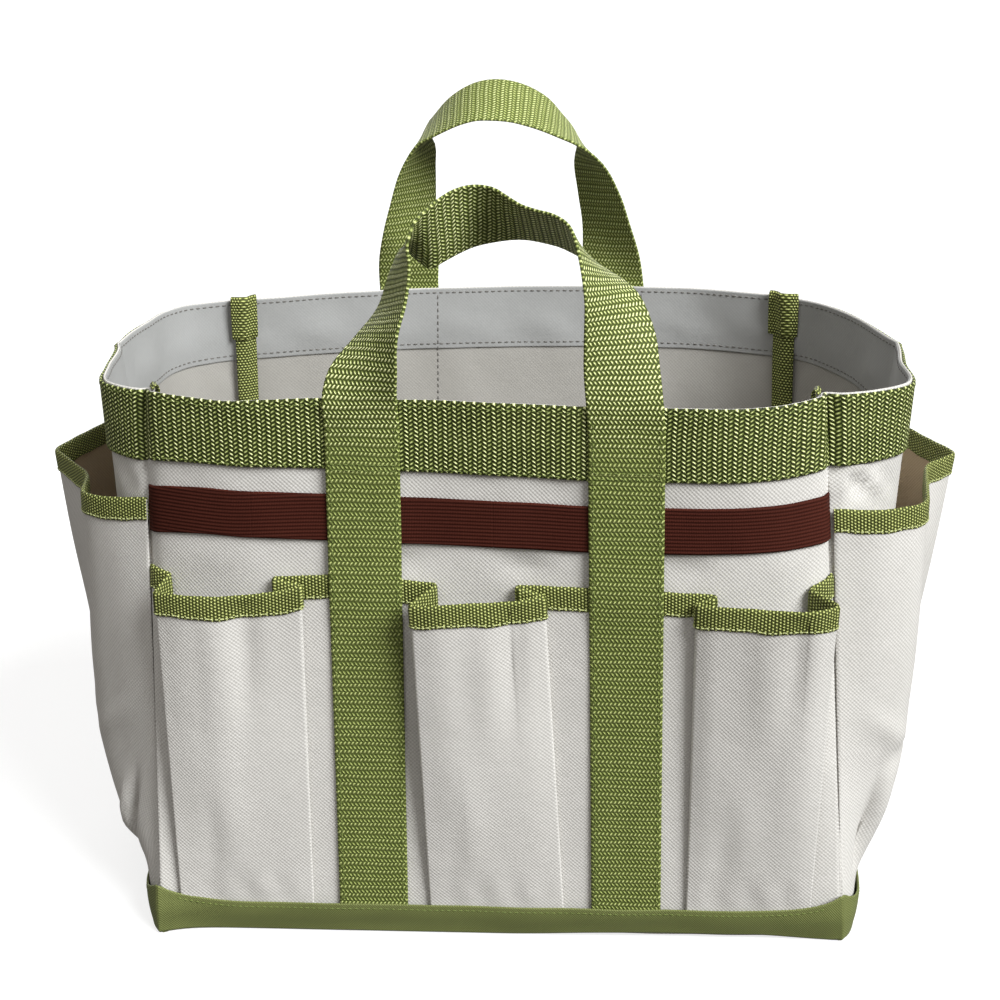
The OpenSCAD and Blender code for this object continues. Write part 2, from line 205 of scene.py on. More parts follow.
# ---------------------------------------------------------------- meshes
def slab(P, t, U, V, nose=0.45):
    """Closed cloth of thickness t about the grid P, with a rounded border."""
    m, n, _ = P.shape
    du, dv = np.gradient(P, axis=1), np.gradient(P, axis=0)
    N = unit(np.cross(du, dv))
    tt = np.broadcast_to(np.asarray(t, float), (m, n))[..., None]
    top, bot = P + N * tt / 2, P - N * tt / 2
    ii = np.r_[np.zeros(n, int), np.arange(1, m), np.full(n - 1, m - 1), np.arange(m - 2, 0, -1)]
    jj = np.r_[np.arange(n), np.full(m - 1, n - 1), np.arange(n - 2, -1, -1), np.zeros(m - 2, int)]
    dirn = unit(dv[ii, jj]) * ((ii == m - 1) * 1.0 - (ii == 0) * 1.0)[:, None] + unit(du[ii, jj]) * ((jj == n - 1) * 1.0 - (jj == 0) * 1.0)[:, None]
    rim = P[ii, jj] + unit(dirn) * tt[ii, jj] * nose
    verts = np.concatenate([top.reshape(-1, 3), bot.reshape(-1, 3), rim])
    uv = np.stack([np.broadcast_to(U, (m, n)), np.broadcast_to(V, (m, n))], -1)
    uvs = np.concatenate([uv.reshape(-1, 2), uv.reshape(-1, 2), uv[ii, jj]])
    k = m * n
    I, J = np.meshgrid(np.arange(m - 1), np.arange(n - 1), indexing="ij")
    p = (I * n + J).ravel()
    ft = np.stack([p, p + 1, p + n + 1, p + n], -1)
    fb = ft[:, ::-1] + k
    a = ii * n + jj
    b = np.roll(a, -1)
    c = 2 * k + np.arange(len(a))
    d = np.roll(c, -1)
    f1 = np.stack([b, a, c, d], -1)
    f2 = np.stack([d, c, a + k, b + k], -1)
    F = np.concatenate([ft, fb, f1, f2])
    return verts, F, uvs


def join(parts):
    V, F, UV, k = [], [], [], 0
    for v, f, u in parts:
        V.append(v); F.append(np.asarray(f) + k); UV.append(u); k += len(v)
    return np.concatenate(V), np.concatenate(F), np.concatenate(UV)


def mesh(name, part, mat, inner=None):
    """part has quads or triangles, all of one size, in mm."""
    V, F, UV = part
    me = bpy.data.meshes.new(name)
    n = F.shape[1]
    me.vertices.add(len(V))
    me.vertices.foreach_set("co", (V * 0.001).astype(np.float32).ravel())
    me.loops.add(F.size)
    me.loops.foreach_set("vertex_index", F.astype(np.int32).ravel())
    me.polygons.add(len(F))
    me.polygons.foreach_set("loop_start", np.arange(0, F.size, n, dtype=np.int32))
    me.polygons.foreach_set("loop_total", np.full(len(F), n, np.int32))
    me.update(calc_edges=True)
    me.validate()
    lay = me.uv_layers.new(name="weave")
    lay.data.foreach_set("uv", (UV[F.ravel()] * 0.001).astype(np.float32).ravel())
    me.polygons.foreach_set("use_smooth", np.ones(len(F), bool))
    me.materials.append(mat)
    if inner:
        me.materials.append(inner[0])
        idx = np.zeros(len(F), np.int32)
        idx[inner[1]] = 1
        me.polygons.foreach_set("material_index", idx)
    ob = bpy.data.objects.new(name, me)
    scene.collection.objects.link(ob)
    return ob


def area_of(part):
    V, F, _ = part
    q = V[F]
    return 0.5 * (np.linalg.norm(np.cross(q[:, 1] - q[:, 0], q[:, 2] - q[:, 0]), axis=1).sum()
                  + (np.linalg.norm(np.cross(q[:, 2] - q[:, 0], q[:, 3] - q[:, 0]), axis=1).sum() if F.shape[1] == 4 else 0))


def put(ob, body=None, blend=None, reps=()):
    if blend:
        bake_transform(ob)
    else:
        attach(ob, body or "bag")
    if reps:
        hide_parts(*reps)
    return ob


# a stitch: a short six-sided spindle, half sunk in the cloth
_ang = np.arange(6) * math.pi / 3
_T = np.concatenate([[(-0.5, 0, 0)], [(-0.3, math.cos(q), math.sin(q)) for q in _ang],
                     [(0.3, math.cos(q), math.sin(q)) for q in _ang], [(0.5, 0, 0)]])
_F = []
for q in range(6):
    w = (q + 1) % 6
    _F += [(0, 1 + w, 1 + q), (1 + q, 1 + w, 7 + w), (1 + q, 7 + w, 7 + q), (13, 7 + q, 7 + w)]
_F = np.array(_F)


def stitches(P, N, pitch=3.3, length=2.5, r=0.34, sink=0.05):
    """Row of stitches along the points P on a surface with normals N."""
    l = np.r_[0, np.cumsum(np.linalg.norm(np.diff(P, axis=0), axis=1))]
    n = max(1, int(l[-1] / pitch))
    t = (np.arange(n) + 0.5) * l[-1] / n
    c = np.stack([np.interp(t, l, P[:, i]) for i in range(3)], -1)
    g = unit(np.stack([np.interp(t + 1, l, P[:, i]) - np.interp(t - 1, l, P[:, i]) for i in range(3)], -1))
    nn = unit(np.stack([np.interp(t, l, N[:, i]) for i in range(3)], -1))
    nn = unit(nn - g * (nn * g).sum(-1, keepdims=True))
    b = np.cross(nn, g)
    c = c - nn * sink
    V = (c[:, None] + _T[None, :, :1] * length * g[:, None] + _T[None, :, 1:2] * r * 1.1 * b[:, None] + _T[None, :, 2:3] * r * nn[:, None])
    F = _F[None] + 14 * np.arange(n)[:, None, None]
    uv = np.stack([np.broadcast_to(t[:, None] + _T[None, :, 0] * length, (n, 14)), np.broadcast_to(_T[None, :, 1], (n, 14))], -1)
    return V.reshape(-1, 3), F.reshape(-1, 3), uv.reshape(-1, 2)


# ---------------------------------------------------------------- materials
class Mat:
    def __init__(self, name):
        self.m = bpy.data.materials.new(name)
        self.m.use_nodes = True
        self.t = self.m.node_tree
        self.t.nodes.clear()
        out = self.t.nodes.new("ShaderNodeOutputMaterial")
        self.b = self.t.nodes.new("ShaderNodeBsdfPrincipled")
        self.t.links.new(self.b.outputs[0], out.inputs[0])
        uv = self.t.nodes.new("ShaderNodeUVMap")
        uv.uv_map = "weave"
        sc = self.t.nodes.new("ShaderNodeVectorMath")
        sc.operation = "SCALE"
        self.t.links.new(uv.outputs[0], sc.inputs[0])
        sc.inputs["Scale"].default_value = 1000.0
        self.vec = sc.outputs[0]
        sp = self.t.nodes.new("ShaderNodeSeparateXYZ")
        self.t.links.new(self.vec, sp.inputs[0])
        self.u, self.v = sp.outputs[0], sp.outputs[1]

    def put(self, s, v):
        if isinstance(v, bpy.types.NodeSocket):
            self.t.links.new(v, s)
        elif v is not None:
            s.default_value = v

    def f(self, op, a, b=None, c=None, clamp=False):
        n = self.t.nodes.new("ShaderNodeMath")
        n.operation = op
        n.use_clamp = clamp
        for s, v in zip(n.inputs, (a, b, c)):
            self.put(s, v)
        return n.outputs[0]

    def wavef(self, x, period, phase=0.0):
        """0 to 1 cosine of x with that period."""
        c = self.f("COSINE", self.f("MULTIPLY_ADD", x, 2 * math.pi / period, phase))
        return self.f("MULTIPLY_ADD", c, 0.5, 0.5)

    def noise(self, sx, sy, detail=2.0, rough=0.5, off=0.0):
        mp = self.t.nodes.new("ShaderNodeMapping")
        self.put(mp.inputs["Vector"], self.vec)
        mp.inputs["Scale"].default_value = (sx, sy, 1)
        mp.inputs["Location"].default_value = (off, off * 0.7, off)
        n = self.t.nodes.new("ShaderNodeTexNoise")
        self.put(n.inputs["Vector"], mp.outputs[0])
        n.inputs["Scale"].default_value = 1.0
        n.inputs["Detail"].default_value = detail
        n.inputs["Roughness"].default_value = rough
        return n.outputs[0]

    def ramp(self, fac, stops):
        n = self.t.nodes.new("ShaderNodeValToRGB")
        self.put(n.inputs[0], fac)
        e = n.color_ramp.elements
        while len(e) < len(stops):
            e.new(0.5)
        for el, (p, c) in zip(e, stops):
            el.position = p
            el.color = (*c, 1)
        return n.outputs[0]

    def done(self, colour, rough, height, dist, strength, spec=0.3, sheen=0.0, height2=None, dist2=1.0, tint=(1, 1, 1)):
        self.put(self.b.inputs["Base Color"], colour)
        self.put(self.b.inputs["Roughness"], rough)
        self.b.inputs["Specular IOR Level"].default_value = spec
        if sheen:
            self.b.inputs["Sheen Weight"].default_value = sheen
            self.b.inputs["Sheen Roughness"].default_value = 0.5
            self.b.inputs["Sheen Tint"].default_value = (*tint, 1)
        prev = None
        for h, d in ((height2, dist2), (height, dist)):
            if h is None:
                continue
            bp = self.t.nodes.new("ShaderNodeBump")
            bp.inputs["Strength"].default_value = strength
            bp.inputs["Distance"].default_value = d * 0.001
            self.put(bp.inputs["Height"], h)
            if prev is not None:
                self.put(bp.inputs["Normal"], prev)
            prev = bp.outputs[0]
        self.put(self.b.inputs["Normal"], prev)
        return self.m


def webbing_mat(name, dark, mid, light, crown_glint, period=4.95, pitch=2.25, swing=1.35, loose=None, dim=0.74, calm=0.0, bump=0.8):
    """Herringbone webbing: u runs along, v across."""
    m = Mat(name)
    warp = m.f("MULTIPLY_ADD", m.noise(0.05, 0.05, 2, 0.5, 3), 1.6, -0.8)
    uu = m.f("ADD", m.u, warp)
    tri = m.f("MULTIPLY", m.f("PINGPONG", m.f("DIVIDE", uu, period), 0.5), 2.0)
    # every other half row is stepped by half a stitch, so the slants stand in separate rows
    sel = m.f("GREATER_THAN", m.f("FRACT", m.f("DIVIDE", uu, period)), 0.5)
    sh = m.f("MULTIPLY_ADD", sel, 0.5 * pitch, m.f("MULTIPLY_ADD", tri, swing, m.v))
    rib = m.f("POWER", m.wavef(sh, pitch), 1.35)
    # the half rows are parted by dark lines, the deepest once a period
    half = m.f("POWER", m.f("ABSOLUTE", m.f("SINE", m.f("MULTIPLY", uu, 2 * math.pi / period))), 0.75)
    deep = m.f("MULTIPLY_ADD", m.wavef(uu, period), -0.35, 1.0)
    # one half row catches the light more than the other
    odd = m.f("MULTIPLY_ADD", sel, dim - 1.0, 1.0)
    h = m.f("MULTIPLY", rib, m.f("MULTIPLY", half, m.f("MULTIPLY", deep, odd)))
    fib = m.noise(0.9, 3.2, 2, 0.6, 11)
    big = m.noise(0.03, 0.09, 3, 0.55, 5)
    tone = m.f("ADD", m.f("MULTIPLY_ADD", h, 1.45, -0.10), m.f("ADD", m.f("MULTIPLY", fib, 0.12), m.f("MULTIPLY", big, 0.14)), clamp=True)
    if loose:
        # painted light: the free handle, tilted up into the light, is painted lighter than the strap sewn flat on the
        # wall
        free = m.f("SUBTRACT", 1.0, m.f("DIVIDE", m.f("SUBTRACT", m.f("ABSOLUTE", m.u), loose - 10), 25.0, clamp=True), clamp=True)
        sewn = m.f("MULTIPLY_ADD", tone, 0.6, 0.235)
        handle_lit_tone = m.f("MULTIPLY_ADD", h, 0.20 * (1 - calm), m.f("MULTIPLY_ADD", tone, 1 - calm, 0.06 + 0.48 * calm))
        tone = m.f("ADD", m.f("MULTIPLY", free, handle_lit_tone), m.f("MULTIPLY", m.f("SUBTRACT", 1.0, free), sewn), clamp=True)
    # the weave pattern; its near-white top stop is a painted glint on the thread crowns, and its near-black bottom stop
    # is partly painted shade in the gaps
    col = m.ramp(tone, [(0.0, dark), (0.45, mid), (0.78, light), (1.0, crown_glint)])
    rough = m.f("MULTIPLY_ADD", fib, -0.2, 0.62)
    return m.done(col, rough, h, bump, 1.0, spec=0.12, height2=big, dist2=0.5)


def canvas_mat(name, dark, light, pitch=1.12, bump=0.26, soft=0.0):
    """Plain-weave canvas: raised thread crossings with slubs and faint clouding."""
    m = Mat(name)
    wu, wv = m.wavef(m.u, 2 * pitch), m.wavef(m.v, 2 * pitch)
    a = m.f("MULTIPLY", wu, wv)
    b = m.f("MULTIPLY", m.f("SUBTRACT", 1.0, wu), m.f("SUBTRACT", 1.0, wv))
    h = m.f("ADD", a, b)
    slub = m.f("ADD", m.noise(0.12, 1.3, 2, 0.6, 2), m.noise(1.3, 0.12, 2, 0.6, 9))
    cloud = m.noise(0.012, 0.016, 3, 0.55, 4)
    tone = m.f("ADD", m.f("MULTIPLY_ADD", h, 0.54 - soft * 0.75, soft * 0.375 + 0.03), m.f("ADD", m.f("MULTIPLY", slub, 0.22), m.f("MULTIPLY", cloud, 0.24)), clamp=True)
    col = m.ramp(tone, [(0.1, dark), (0.95, light)])
    rough = m.f("MULTIPLY_ADD", slub, 0.12, 0.62)
    return m.done(col, rough, h, bump, 0.7, spec=0.2, sheen=0.06, height2=m.noise(0.03, 0.03, 4, 0.6, 1), dist2=0.9)


def tape_mat(name, dark, mid, light, pitch=1.78, row=1.7):
    """Binding tape with staggered raised dots: u along, v across."""
    m = Mat(name)
    odd = m.f("MODULO", m.f("FLOOR", m.f("ADD", m.f("DIVIDE", m.u, pitch), 0.5)), 2.0)
    vv = m.f("MULTIPLY_ADD", odd, row / 2, m.v)
    cu, cv = m.wavef(m.u, pitch), m.wavef(vv, row)
    h = m.f("MULTIPLY", m.f("POWER", cu, 0.8), m.f("MULTIPLY_ADD", cv, 0.85, 0.15))
    big = m.noise(0.05, 0.1, 3, 0.55, 6)
    fib = m.noise(2.0, 2.0, 2, 0.6, 8)
    tone = m.f("ADD", m.f("MULTIPLY_ADD", h, 1.1, -0.08), m.f("ADD", m.f("MULTIPLY", fib, 0.14), m.f("MULTIPLY", big, 0.16)), clamp=True)
    col = m.ramp(tone, [(0.0, dark), (0.45, mid), (1.0, light)])
    return m.done(col, m.f("MULTIPLY_ADD", fib, -0.15, 0.6), h, 0.6, 1.0, spec=0.2, height2=big, dist2=0.4)


def elastic_mat(name):
    m = Mat(name)
    rib = m.wavef(m.v, 1.92)
    cross = m.wavef(m.u, 0.85)
    fib = m.noise(1.1, 2.0, 2, 0.6, 3)
    big = m.noise(0.04, 0.02, 3, 0.5, 7)
    h = m.f("MULTIPLY", m.f("POWER", rib, 0.7), m.f("MULTIPLY_ADD", cross, 0.35, 0.65))
    tone = m.f("ADD", m.f("MULTIPLY_ADD", h, 0.46, 0.02), m.f("ADD", m.f("MULTIPLY", fib, 0.36), m.f("MULTIPLY", big, 0.22)), clamp=True)
    col = m.ramp(tone, [(0.0, (0.012, 0.003, 0.0018)), (0.5, (0.047, 0.0110, 0.007)), (1.0, (0.100, 0.026, 0.016))])
    return m.done(col, m.f("MULTIPLY_ADD", fib, -0.1, 0.78), h, 0.35, 0.8, spec=0.06)


def twill_mat(name, dark, light):
    m = Mat(name)
    d = m.f("ADD", m.u, m.f("MULTIPLY", m.v, 0.9))
    rib = m.wavef(d, 1.35)
    cr = m.wavef(m.f("SUBTRACT", m.u, m.v), 1.9)
    fib = m.noise(1.4, 1.4, 2, 0.6, 3)
    big = m.noise(0.014, 0.03, 3, 0.5, 7)
    h = m.f("MULTIPLY", rib, m.f("MULTIPLY_ADD", cr, 0.35, 0.65))
    tone = m.f("ADD", m.f("MULTIPLY_ADD", h, 0.5, 0.02), m.f("ADD", m.f("MULTIPLY", fib, 0.2), m.f("MULTIPLY", big, 0.42)), clamp=True)
    col = m.ramp(tone, [(0.1, dark), (0.95, light)])
    return m.done(col, m.f("MULTIPLY_ADD", fib, -0.15, 0.68), h, 0.2, 0.8, spec=0.25, sheen=0.05, height2=big, dist2=1.0)


def plain_mat(name, dark, light, rough=0.8, scale=0.25):
    m = Mat(name)
    n = m.noise(scale, scale, 4, 0.6, 2)
    return m.done(m.ramp(n, [(0.25, dark), (0.75, light)]), m.f("MULTIPLY_ADD", n, 0.1, rough - 0.05), n, 0.2, 0.5, spec=0.2)


def thread_mat(name, dark, light):
    m = Mat(name)
    tw = m.wavef(m.f("ADD", m.u, m.f("MULTIPLY", m.v, 0.5)), 0.9)
    n = m.noise(0.4, 0.4, 2, 0.5, 1)
    tone = m.f("MULTIPLY_ADD", tw, 0.5, m.f("MULTIPLY", n, 0.5), clamp=True)
    return m.done(m.ramp(tone, [(0.1, dark), (0.9, light)]), m.f("MULTIPLY_ADD", n, -0.1, 0.6), tw, 0.1, 0.6, spec=0.3)


WEB = webbing_mat("webbing_green", (0.010, 0.013, 0.003), (0.135, 0.168, 0.040), (0.46, 0.52, 0.17), (0.92, 0.95, 0.52))
WEB_H = webbing_mat("webbing_handle", (0.010, 0.013, 0.003), (0.135, 0.168, 0.040), (0.46, 0.52, 0.17), (0.92, 0.95, 0.52), loose=150.0, calm=0.15, bump=0.7)
WEB_B = webbing_mat("webbing_handle_back", (0.010, 0.013, 0.003), (0.135, 0.168, 0.040), (0.46, 0.52, 0.17), (0.92, 0.95, 0.52), loose=150.0, calm=0.45, bump=0.45)
TAPE = tape_mat("tape_green", (0.014, 0.017, 0.004), (0.140, 0.163, 0.034), (0.62, 0.66, 0.24))
CANVAS = canvas_mat("canvas_cream", (0.385, 0.37, 0.343), (0.69, 0.672, 0.64))
CANVAS_IN = canvas_mat("canvas_coated", (0.27, 0.258, 0.236), (0.42, 0.405, 0.375), bump=0.1, soft=0.3)
# painted shade: the hem band's greyer colour stands in for the shade where the rim webbing cuts the light shining
# through the canvas
FACING_PAINTED_SHADE = canvas_mat("canvas_facing_painted_shade", (0.285, 0.287, 0.282), (0.38, 0.382, 0.376), bump=0.06, soft=0.45)
BASE = twill_mat("base_green", (0.074, 0.087, 0.024), (0.212, 0.240, 0.074))
ELASTIC = elastic_mat("elastic_brown")
BOARD = plain_mat("board_grey", (0.28, 0.26, 0.23), (0.38, 0.36, 0.32))
# painted light: the warm brown inside the end pockets stands in for light shining through the cloth into their shaded
# inside
POCKET_IN_PAINTED_LIGHT = canvas_mat("canvas_pocket_inside_painted_light", (0.37, 0.275, 0.175), (0.56, 0.435, 0.29), bump=0.1, soft=0.3)
LINING = canvas_mat("lining_cream", (0.40, 0.375, 0.335), (0.58, 0.55, 0.50), soft=0.2)
THREAD_G = thread_mat("thread_green", (0.05, 0.075, 0.012), (0.22, 0.27, 0.07))
THREAD_W = thread_mat("thread_grey", (0.10, 0.096, 0.088), (0.22, 0.21, 0.195))
THREAD_L = thread_mat("thread_light", (0.26, 0.29, 0.10), (0.66, 0.70, 0.36))

FACE_NAME = {"F": "front", "B": "back", "L": "left_end", "R": "right_end"}
threads = {"green": [], "cream": []}


def face_cols(face, z, step=4.0, m0=0.0, m1=0.0):
    """Columns across a whole wall at heights z (column array): positions a and lengths along for the weave."""
    if face in "FB":
        s = rows(0, 360, step) / 360
        xl, xr = seam_x(face, z[:, None])
        a = mix(xl + m0, xr - m1, s[None, :])
        return a, a
    s = rows(0, LEN[face], step) / LEN[face]
    a = np.broadcast_to(mix(m0 / LEN[face], 1 - m1 / LEN[face], s)[None, :], (len(z), len(s)))
    return a, a * LEN[face]


def band_rise(x):
    """The elastic sits a little higher towards the left seam."""
    return crv(x, (-195, -183, -165, -146, -120, -94, -66, -20, 195), (0.4, 1.0, 3.2, 4.8, 3.6, 1.9, 1.0, 0, 0))


def rim_rise(x, z):
    """The lower edge of the rim webbing sits a little higher on the left."""
    up = crv(x, (-195, -181, -160, -140, -118, -95, -60, -10, 195), (1.2, 1.5, 3.4, 4.2, 3.0, 1.8, 1.0, 0, 0))
    return up * np.clip((307 - z) / 36, 0, 1)


def wall_layer(face, z, o, t, step=4.0, m=0.0, extra=None, rise=None):
    a, u = face_cols(face, z, step, m, m)
    zz = np.broadcast_to(z[:, None], a.shape)
    if rise is not None:
        zz = zz + rise(a, zz)
    oo = o if extra is None else o + extra(a, zz)
    P = W(face, a, zz, oo)
    return slab(P, t, u, zz)


# ---------------------------------------------------------------- canvas walls
def panel_wrinkle(face):
    def fn(a, z):
        w = 0.25 * np.sin(a / 6.3 + z / 23) * np.sin(z / 37 + 1)
        if face == "F":
            w = w + 0.9 * gauss(a, -150, 14) * gauss(z, 224, 10) + 0.7 * gauss(a - 0.4 * (z - 220), 150, 7) * gauss(z, 222, 12)
            w = w - 1.8 * gauss(a, -48, 10) * gauss(z, 222, 7) - 1.9 * gauss(a, 16, 11) * gauss(z, 221, 6) - 1.2 * gauss(a, 100, 12) * gauss(z, 222, 7)
        if face in "LR":
            s = a * LEN[face]
            g = gauss(z, 258, 9)
            amp = 1.6 if face == "R" else 0.9
            w = 0.3 * np.sin(s / 9) + amp * g * (np.sin((s - 0.7 * z) / 4.2) * gauss(s, 14, 16) + 0.6 * np.sin((s + 0.5 * z) / 5) * gauss(s, 250, 14))
        if face == "R":
            q = (s - 6 - 1.1 * (268 - z)) * 0.67
            w = w + (-3.0 * gauss(q, 0, 3.2) + 1.6 * gauss(q, 7, 3.5) - 1.4 * gauss(q, 13, 3)) * gauss(z, 259, 9)
        return w
    return fn


def facing_wrinkle(face):
    inner = panel_wrinkle(face)

    def fn(a, z):
        u = a if face in "FB" else a * LEN[face]
        puck = (0.5 + 0.5 * np.sin(u / 11 + 0.6 * np.sin(u / 37))) * gauss(z, 284, 11)
        puck = puck + 0.7 * (0.5 + 0.5 * np.sin((u + 0.8 * z) / 7.5)) * gauss(z, 279, 9)
        return inner(a, z) - 0.95 * puck
    return fn


for face in "FBLR":
    part = wall_layer(face, rows(2.0, 307.3, 4.2), -0.6, 1.2, extra=panel_wrinkle(face))
    quads = (len(rows(2.0, 307.3, 4.2)) - 1) * (len(rows(0, 360 if face in "FB" else LEN[face], 4.0)) - 1)
    side = slice(quads, 2 * quads) if face in "FR" else slice(0, quads)
    put(mesh(FACE_NAME[face] + "_panel_cloth", part, CANVAS, (CANVAS_IN, side)), reps=[FACE_NAME[face] + "_panel"])
    # turned-in hem behind the rim webbing; its greyer colour is painted shade where the webbing cuts the light through
    # the canvas
    part = wall_layer(face, rows(268.5, 307.2, 3.4), -1.6, 0.5, m=1.5, extra=facing_wrinkle(face))
    put(mesh(FACE_NAME[face] + "_rim_facing", part, FACING_PAINTED_SHADE))

# ---------------------------------------------------------------- rim webbing
RIM_NODE = {"F": "front_rim_band", "B": "back_rim_band", "L": "left_rim_band", "R": "right_rim_band"}
for face in "FBLR":
    z = rows(270.6, 307.5 if face == "F" else 306.5, 3.0)
    part = wall_layer(face, z, 1.1, 1.6, step=2.2, m=0.3, rise=rim_rise if face == "F" else None)
    put(mesh(RIM_NODE[face] + "_webbing", part, WEB), reps=[RIM_NODE[face]])
    lo = (270.0, 307.0)
    for zz in (lo[0] + 1.6, lo[1] - 2.2):
        a, _ = face_cols(face, A(zz), 3.0, 3, 3)
        zr_ = zz + (rim_rise(a[0], np.full_like(a[0], zz)) if face == "F" else 0 * a[0])
        P = W(face, a[0], zr_, 1.9)
        N = normal(face, a[0], np.full_like(a[0], zz))
        threads["green"].append(stitches(P, N))
        Q = W(face, a[0], zz, -1.88 + facing_wrinkle(face)(a[0], zz))
        threads["cream"].append(stitches(Q, -N, pitch=4.2, length=3.0, r=0.42))

# ---------------------------------------------------------------- straps and handles
def strap_x(z):
    return mix(70.0, 66.0, z / H)


SHIFT = {"F": 0.8, "B": 0.0}


def strap_o(z):
    return 2.85 + 1.05 * gauss(z, 207, 15)


IN = {
    "F": A((-47, -129, 308), (-46, -134, 326.5), (-45, -135.5, 345), (-41, -129, 361.5), (-39.5, -122.5, 379), (-40.5, -119.5, 388.5),
           (-38, -114.5, 397), (-32.5, -108, 402.5), (-26, -101.5, 407.5), (-18.5, -96, 411), (-9.5, -93, 412.5), (0, -95, 411.5),
           (7, -100, 408), (14, -105, 404.5), (22, -109, 402.5), (30, -112.5, 401), (37.5, -117.5, 397), (41, -123, 390),
           (43, -128, 382.5), (45.5, -135, 364.5), (45.5, -135.5, 346.5), (45.5, -135, 327), (47, -135.5, 308)),
    "B": A((-49, 142.5, 308), (-48.5, 141.5, 326.5), (-50, 147.5, 345.5), (-50, 150.5, 366), (-50, 151.5, 387.5), (-50, 151, 398.5),
           (-54.5, 149.5, 409.5), (-48, 147, 419), (-40.5, 144, 427.5), (-31, 140.5, 434.5), (-21, 138.5, 439), (-10, 138.5, 440.5),
           (1, 139.5, 439), (11.5, 142, 435), (22.5, 146, 427.5), (30, 149, 418.5), (37, 152, 409.5), (41, 154, 400.5),
           (39, 156, 389.5), (41, 156.5, 368.5), (44, 156, 347.5), (44.5, 152, 327), (46, 147, 308)),
}
OUT = {
    "F": A((-85, -128.5, 308), (-81.5, -121, 325.5), (-70, -108, 338), (-59, -97.5, 350.5), (-51.5, -92, 370.5), (-46.5, -88, 379),
           (-42.5, -85.5, 376), (-34, -89.5, 369.5), (-25.5, -87, 372.5), (-18.5, -82.5, 375.5), (-11, -77.5, 378), (-2.5, -74, 379.5),
           (7, -73.5, 381), (16, -75, 381.5), (25, -78, 380.5), (33.5, -82, 379), (41.5, -86, 376), (50, -90.5, 372.5),
           (58, -95.5, 369), (72, -108, 361), (80, -119.5, 345.5), (83, -129.5, 326.5), (85, -136, 308)),
    "B": A((-87, 140, 308), (-86.5, 136, 326.5), (-82.5, 128, 345.5), (-76.5, 123.5, 366), (-69.5, 118.5, 385.5), (-64.5, 116, 394.5),
           (-58, 113.5, 403), (-49.5, 111, 408), (-40.5, 108.5, 412.5), (-31, 107, 416.5), (-21, 106.5, 419), (-10.5, 107, 419),
           (-0.5, 108, 418), (9.5, 109.5, 415.5), (20, 111, 412), (29.5, 113, 408), (39.5, 115.5, 403.5), (48, 118.5, 398),
           (56, 122, 390.5), (67, 128.5, 371.5), (74.5, 134, 350), (81, 141, 328), (84, 146.5, 308)),
}
va = rows(0, 38, 3.4) / 38


def strap_points(face, end, z):
    """Across-strap points, inner to outer edge, at one height on the wall."""
    x = SHIFT[face] + end * (strap_x(z) - 18.3) + end * 36.6 * va
    return W(face, x, np.full_like(x, z), strap_o(z))


def strap_handle(face):
    zs = np.r_[15.5, 22, np.arange(32, 290, 12.0), 296]
    st = [strap_points(face, -1, z) for z in zs]
    for i, (a, b) in enumerate(zip(IN[face], OUT[face])):
        st.append(a + (b - a) * (0.018 + 0.964 * va[:, None]))
    st += [strap_points(face, 1, z) for z in zs[::-1]]
    S = np.array(st)                                   # station, across, xyz
    c = S.mean(1)
    l = np.r_[0, np.cumsum(np.linalg.norm(np.diff(c, axis=0), axis=1))]
    t = rows(0, l[-1], 3.6)
    P = np.stack([crv(t, l, S[:, j]) for j in range(len(va))], 0)   # across, along
    return P, t


for face in "FB":
    nm = FACE_NAME[face]
    P, t = strap_handle(face)
    part = slab(P, 1.6, t[None, :] - t[-1] / 2, (va * 38)[:, None])
    put(mesh(nm + "_strap_and_handle", part, WEB_H if face == "F" else WEB_B), blend=("bag", nm + "_carry_handle", (0, 0, 0.311), (0, 0, 0.345)),
        reps=[nm + "_left_strap", nm + "_right_strap", nm + "_handle"])
    for end in (-1, 1):
        for v in (0.065, 0.935):
            z = np.linspace(22, 304, 90)
            x = SHIFT[face] + end * (strap_x(z) - 19 + 38 * v)
            N = normal(face, x, z)
            threads["green"].append(stitches(W(face, x, z, strap_o(z) + 0.8), N))
            zi = np.linspace(24, 304, 90)
            x = end * (strap_x(zi) - 19 + 38 * v)
            depth = np.where(zi > 267.5, -1.88 + facing_wrinkle(face)(x, zi), -1.24 + panel_wrinkle(face)(x, zi))
            threads["cream"].append(stitches(W(face, x, zi, depth), -normal(face, x, zi), pitch=4.2, length=3.0, r=0.42))
        for zz in (304.3, 271.5, 274.5):
            x = SHIFT[face] + end * (strap_x(zz) - 17) + end * np.linspace(0, 34, 14)
            z = np.full_like(x, zz)
            threads["green"].append(stitches(W(face, x, z, strap_o(z) + 0.8), normal(face, x, z)))

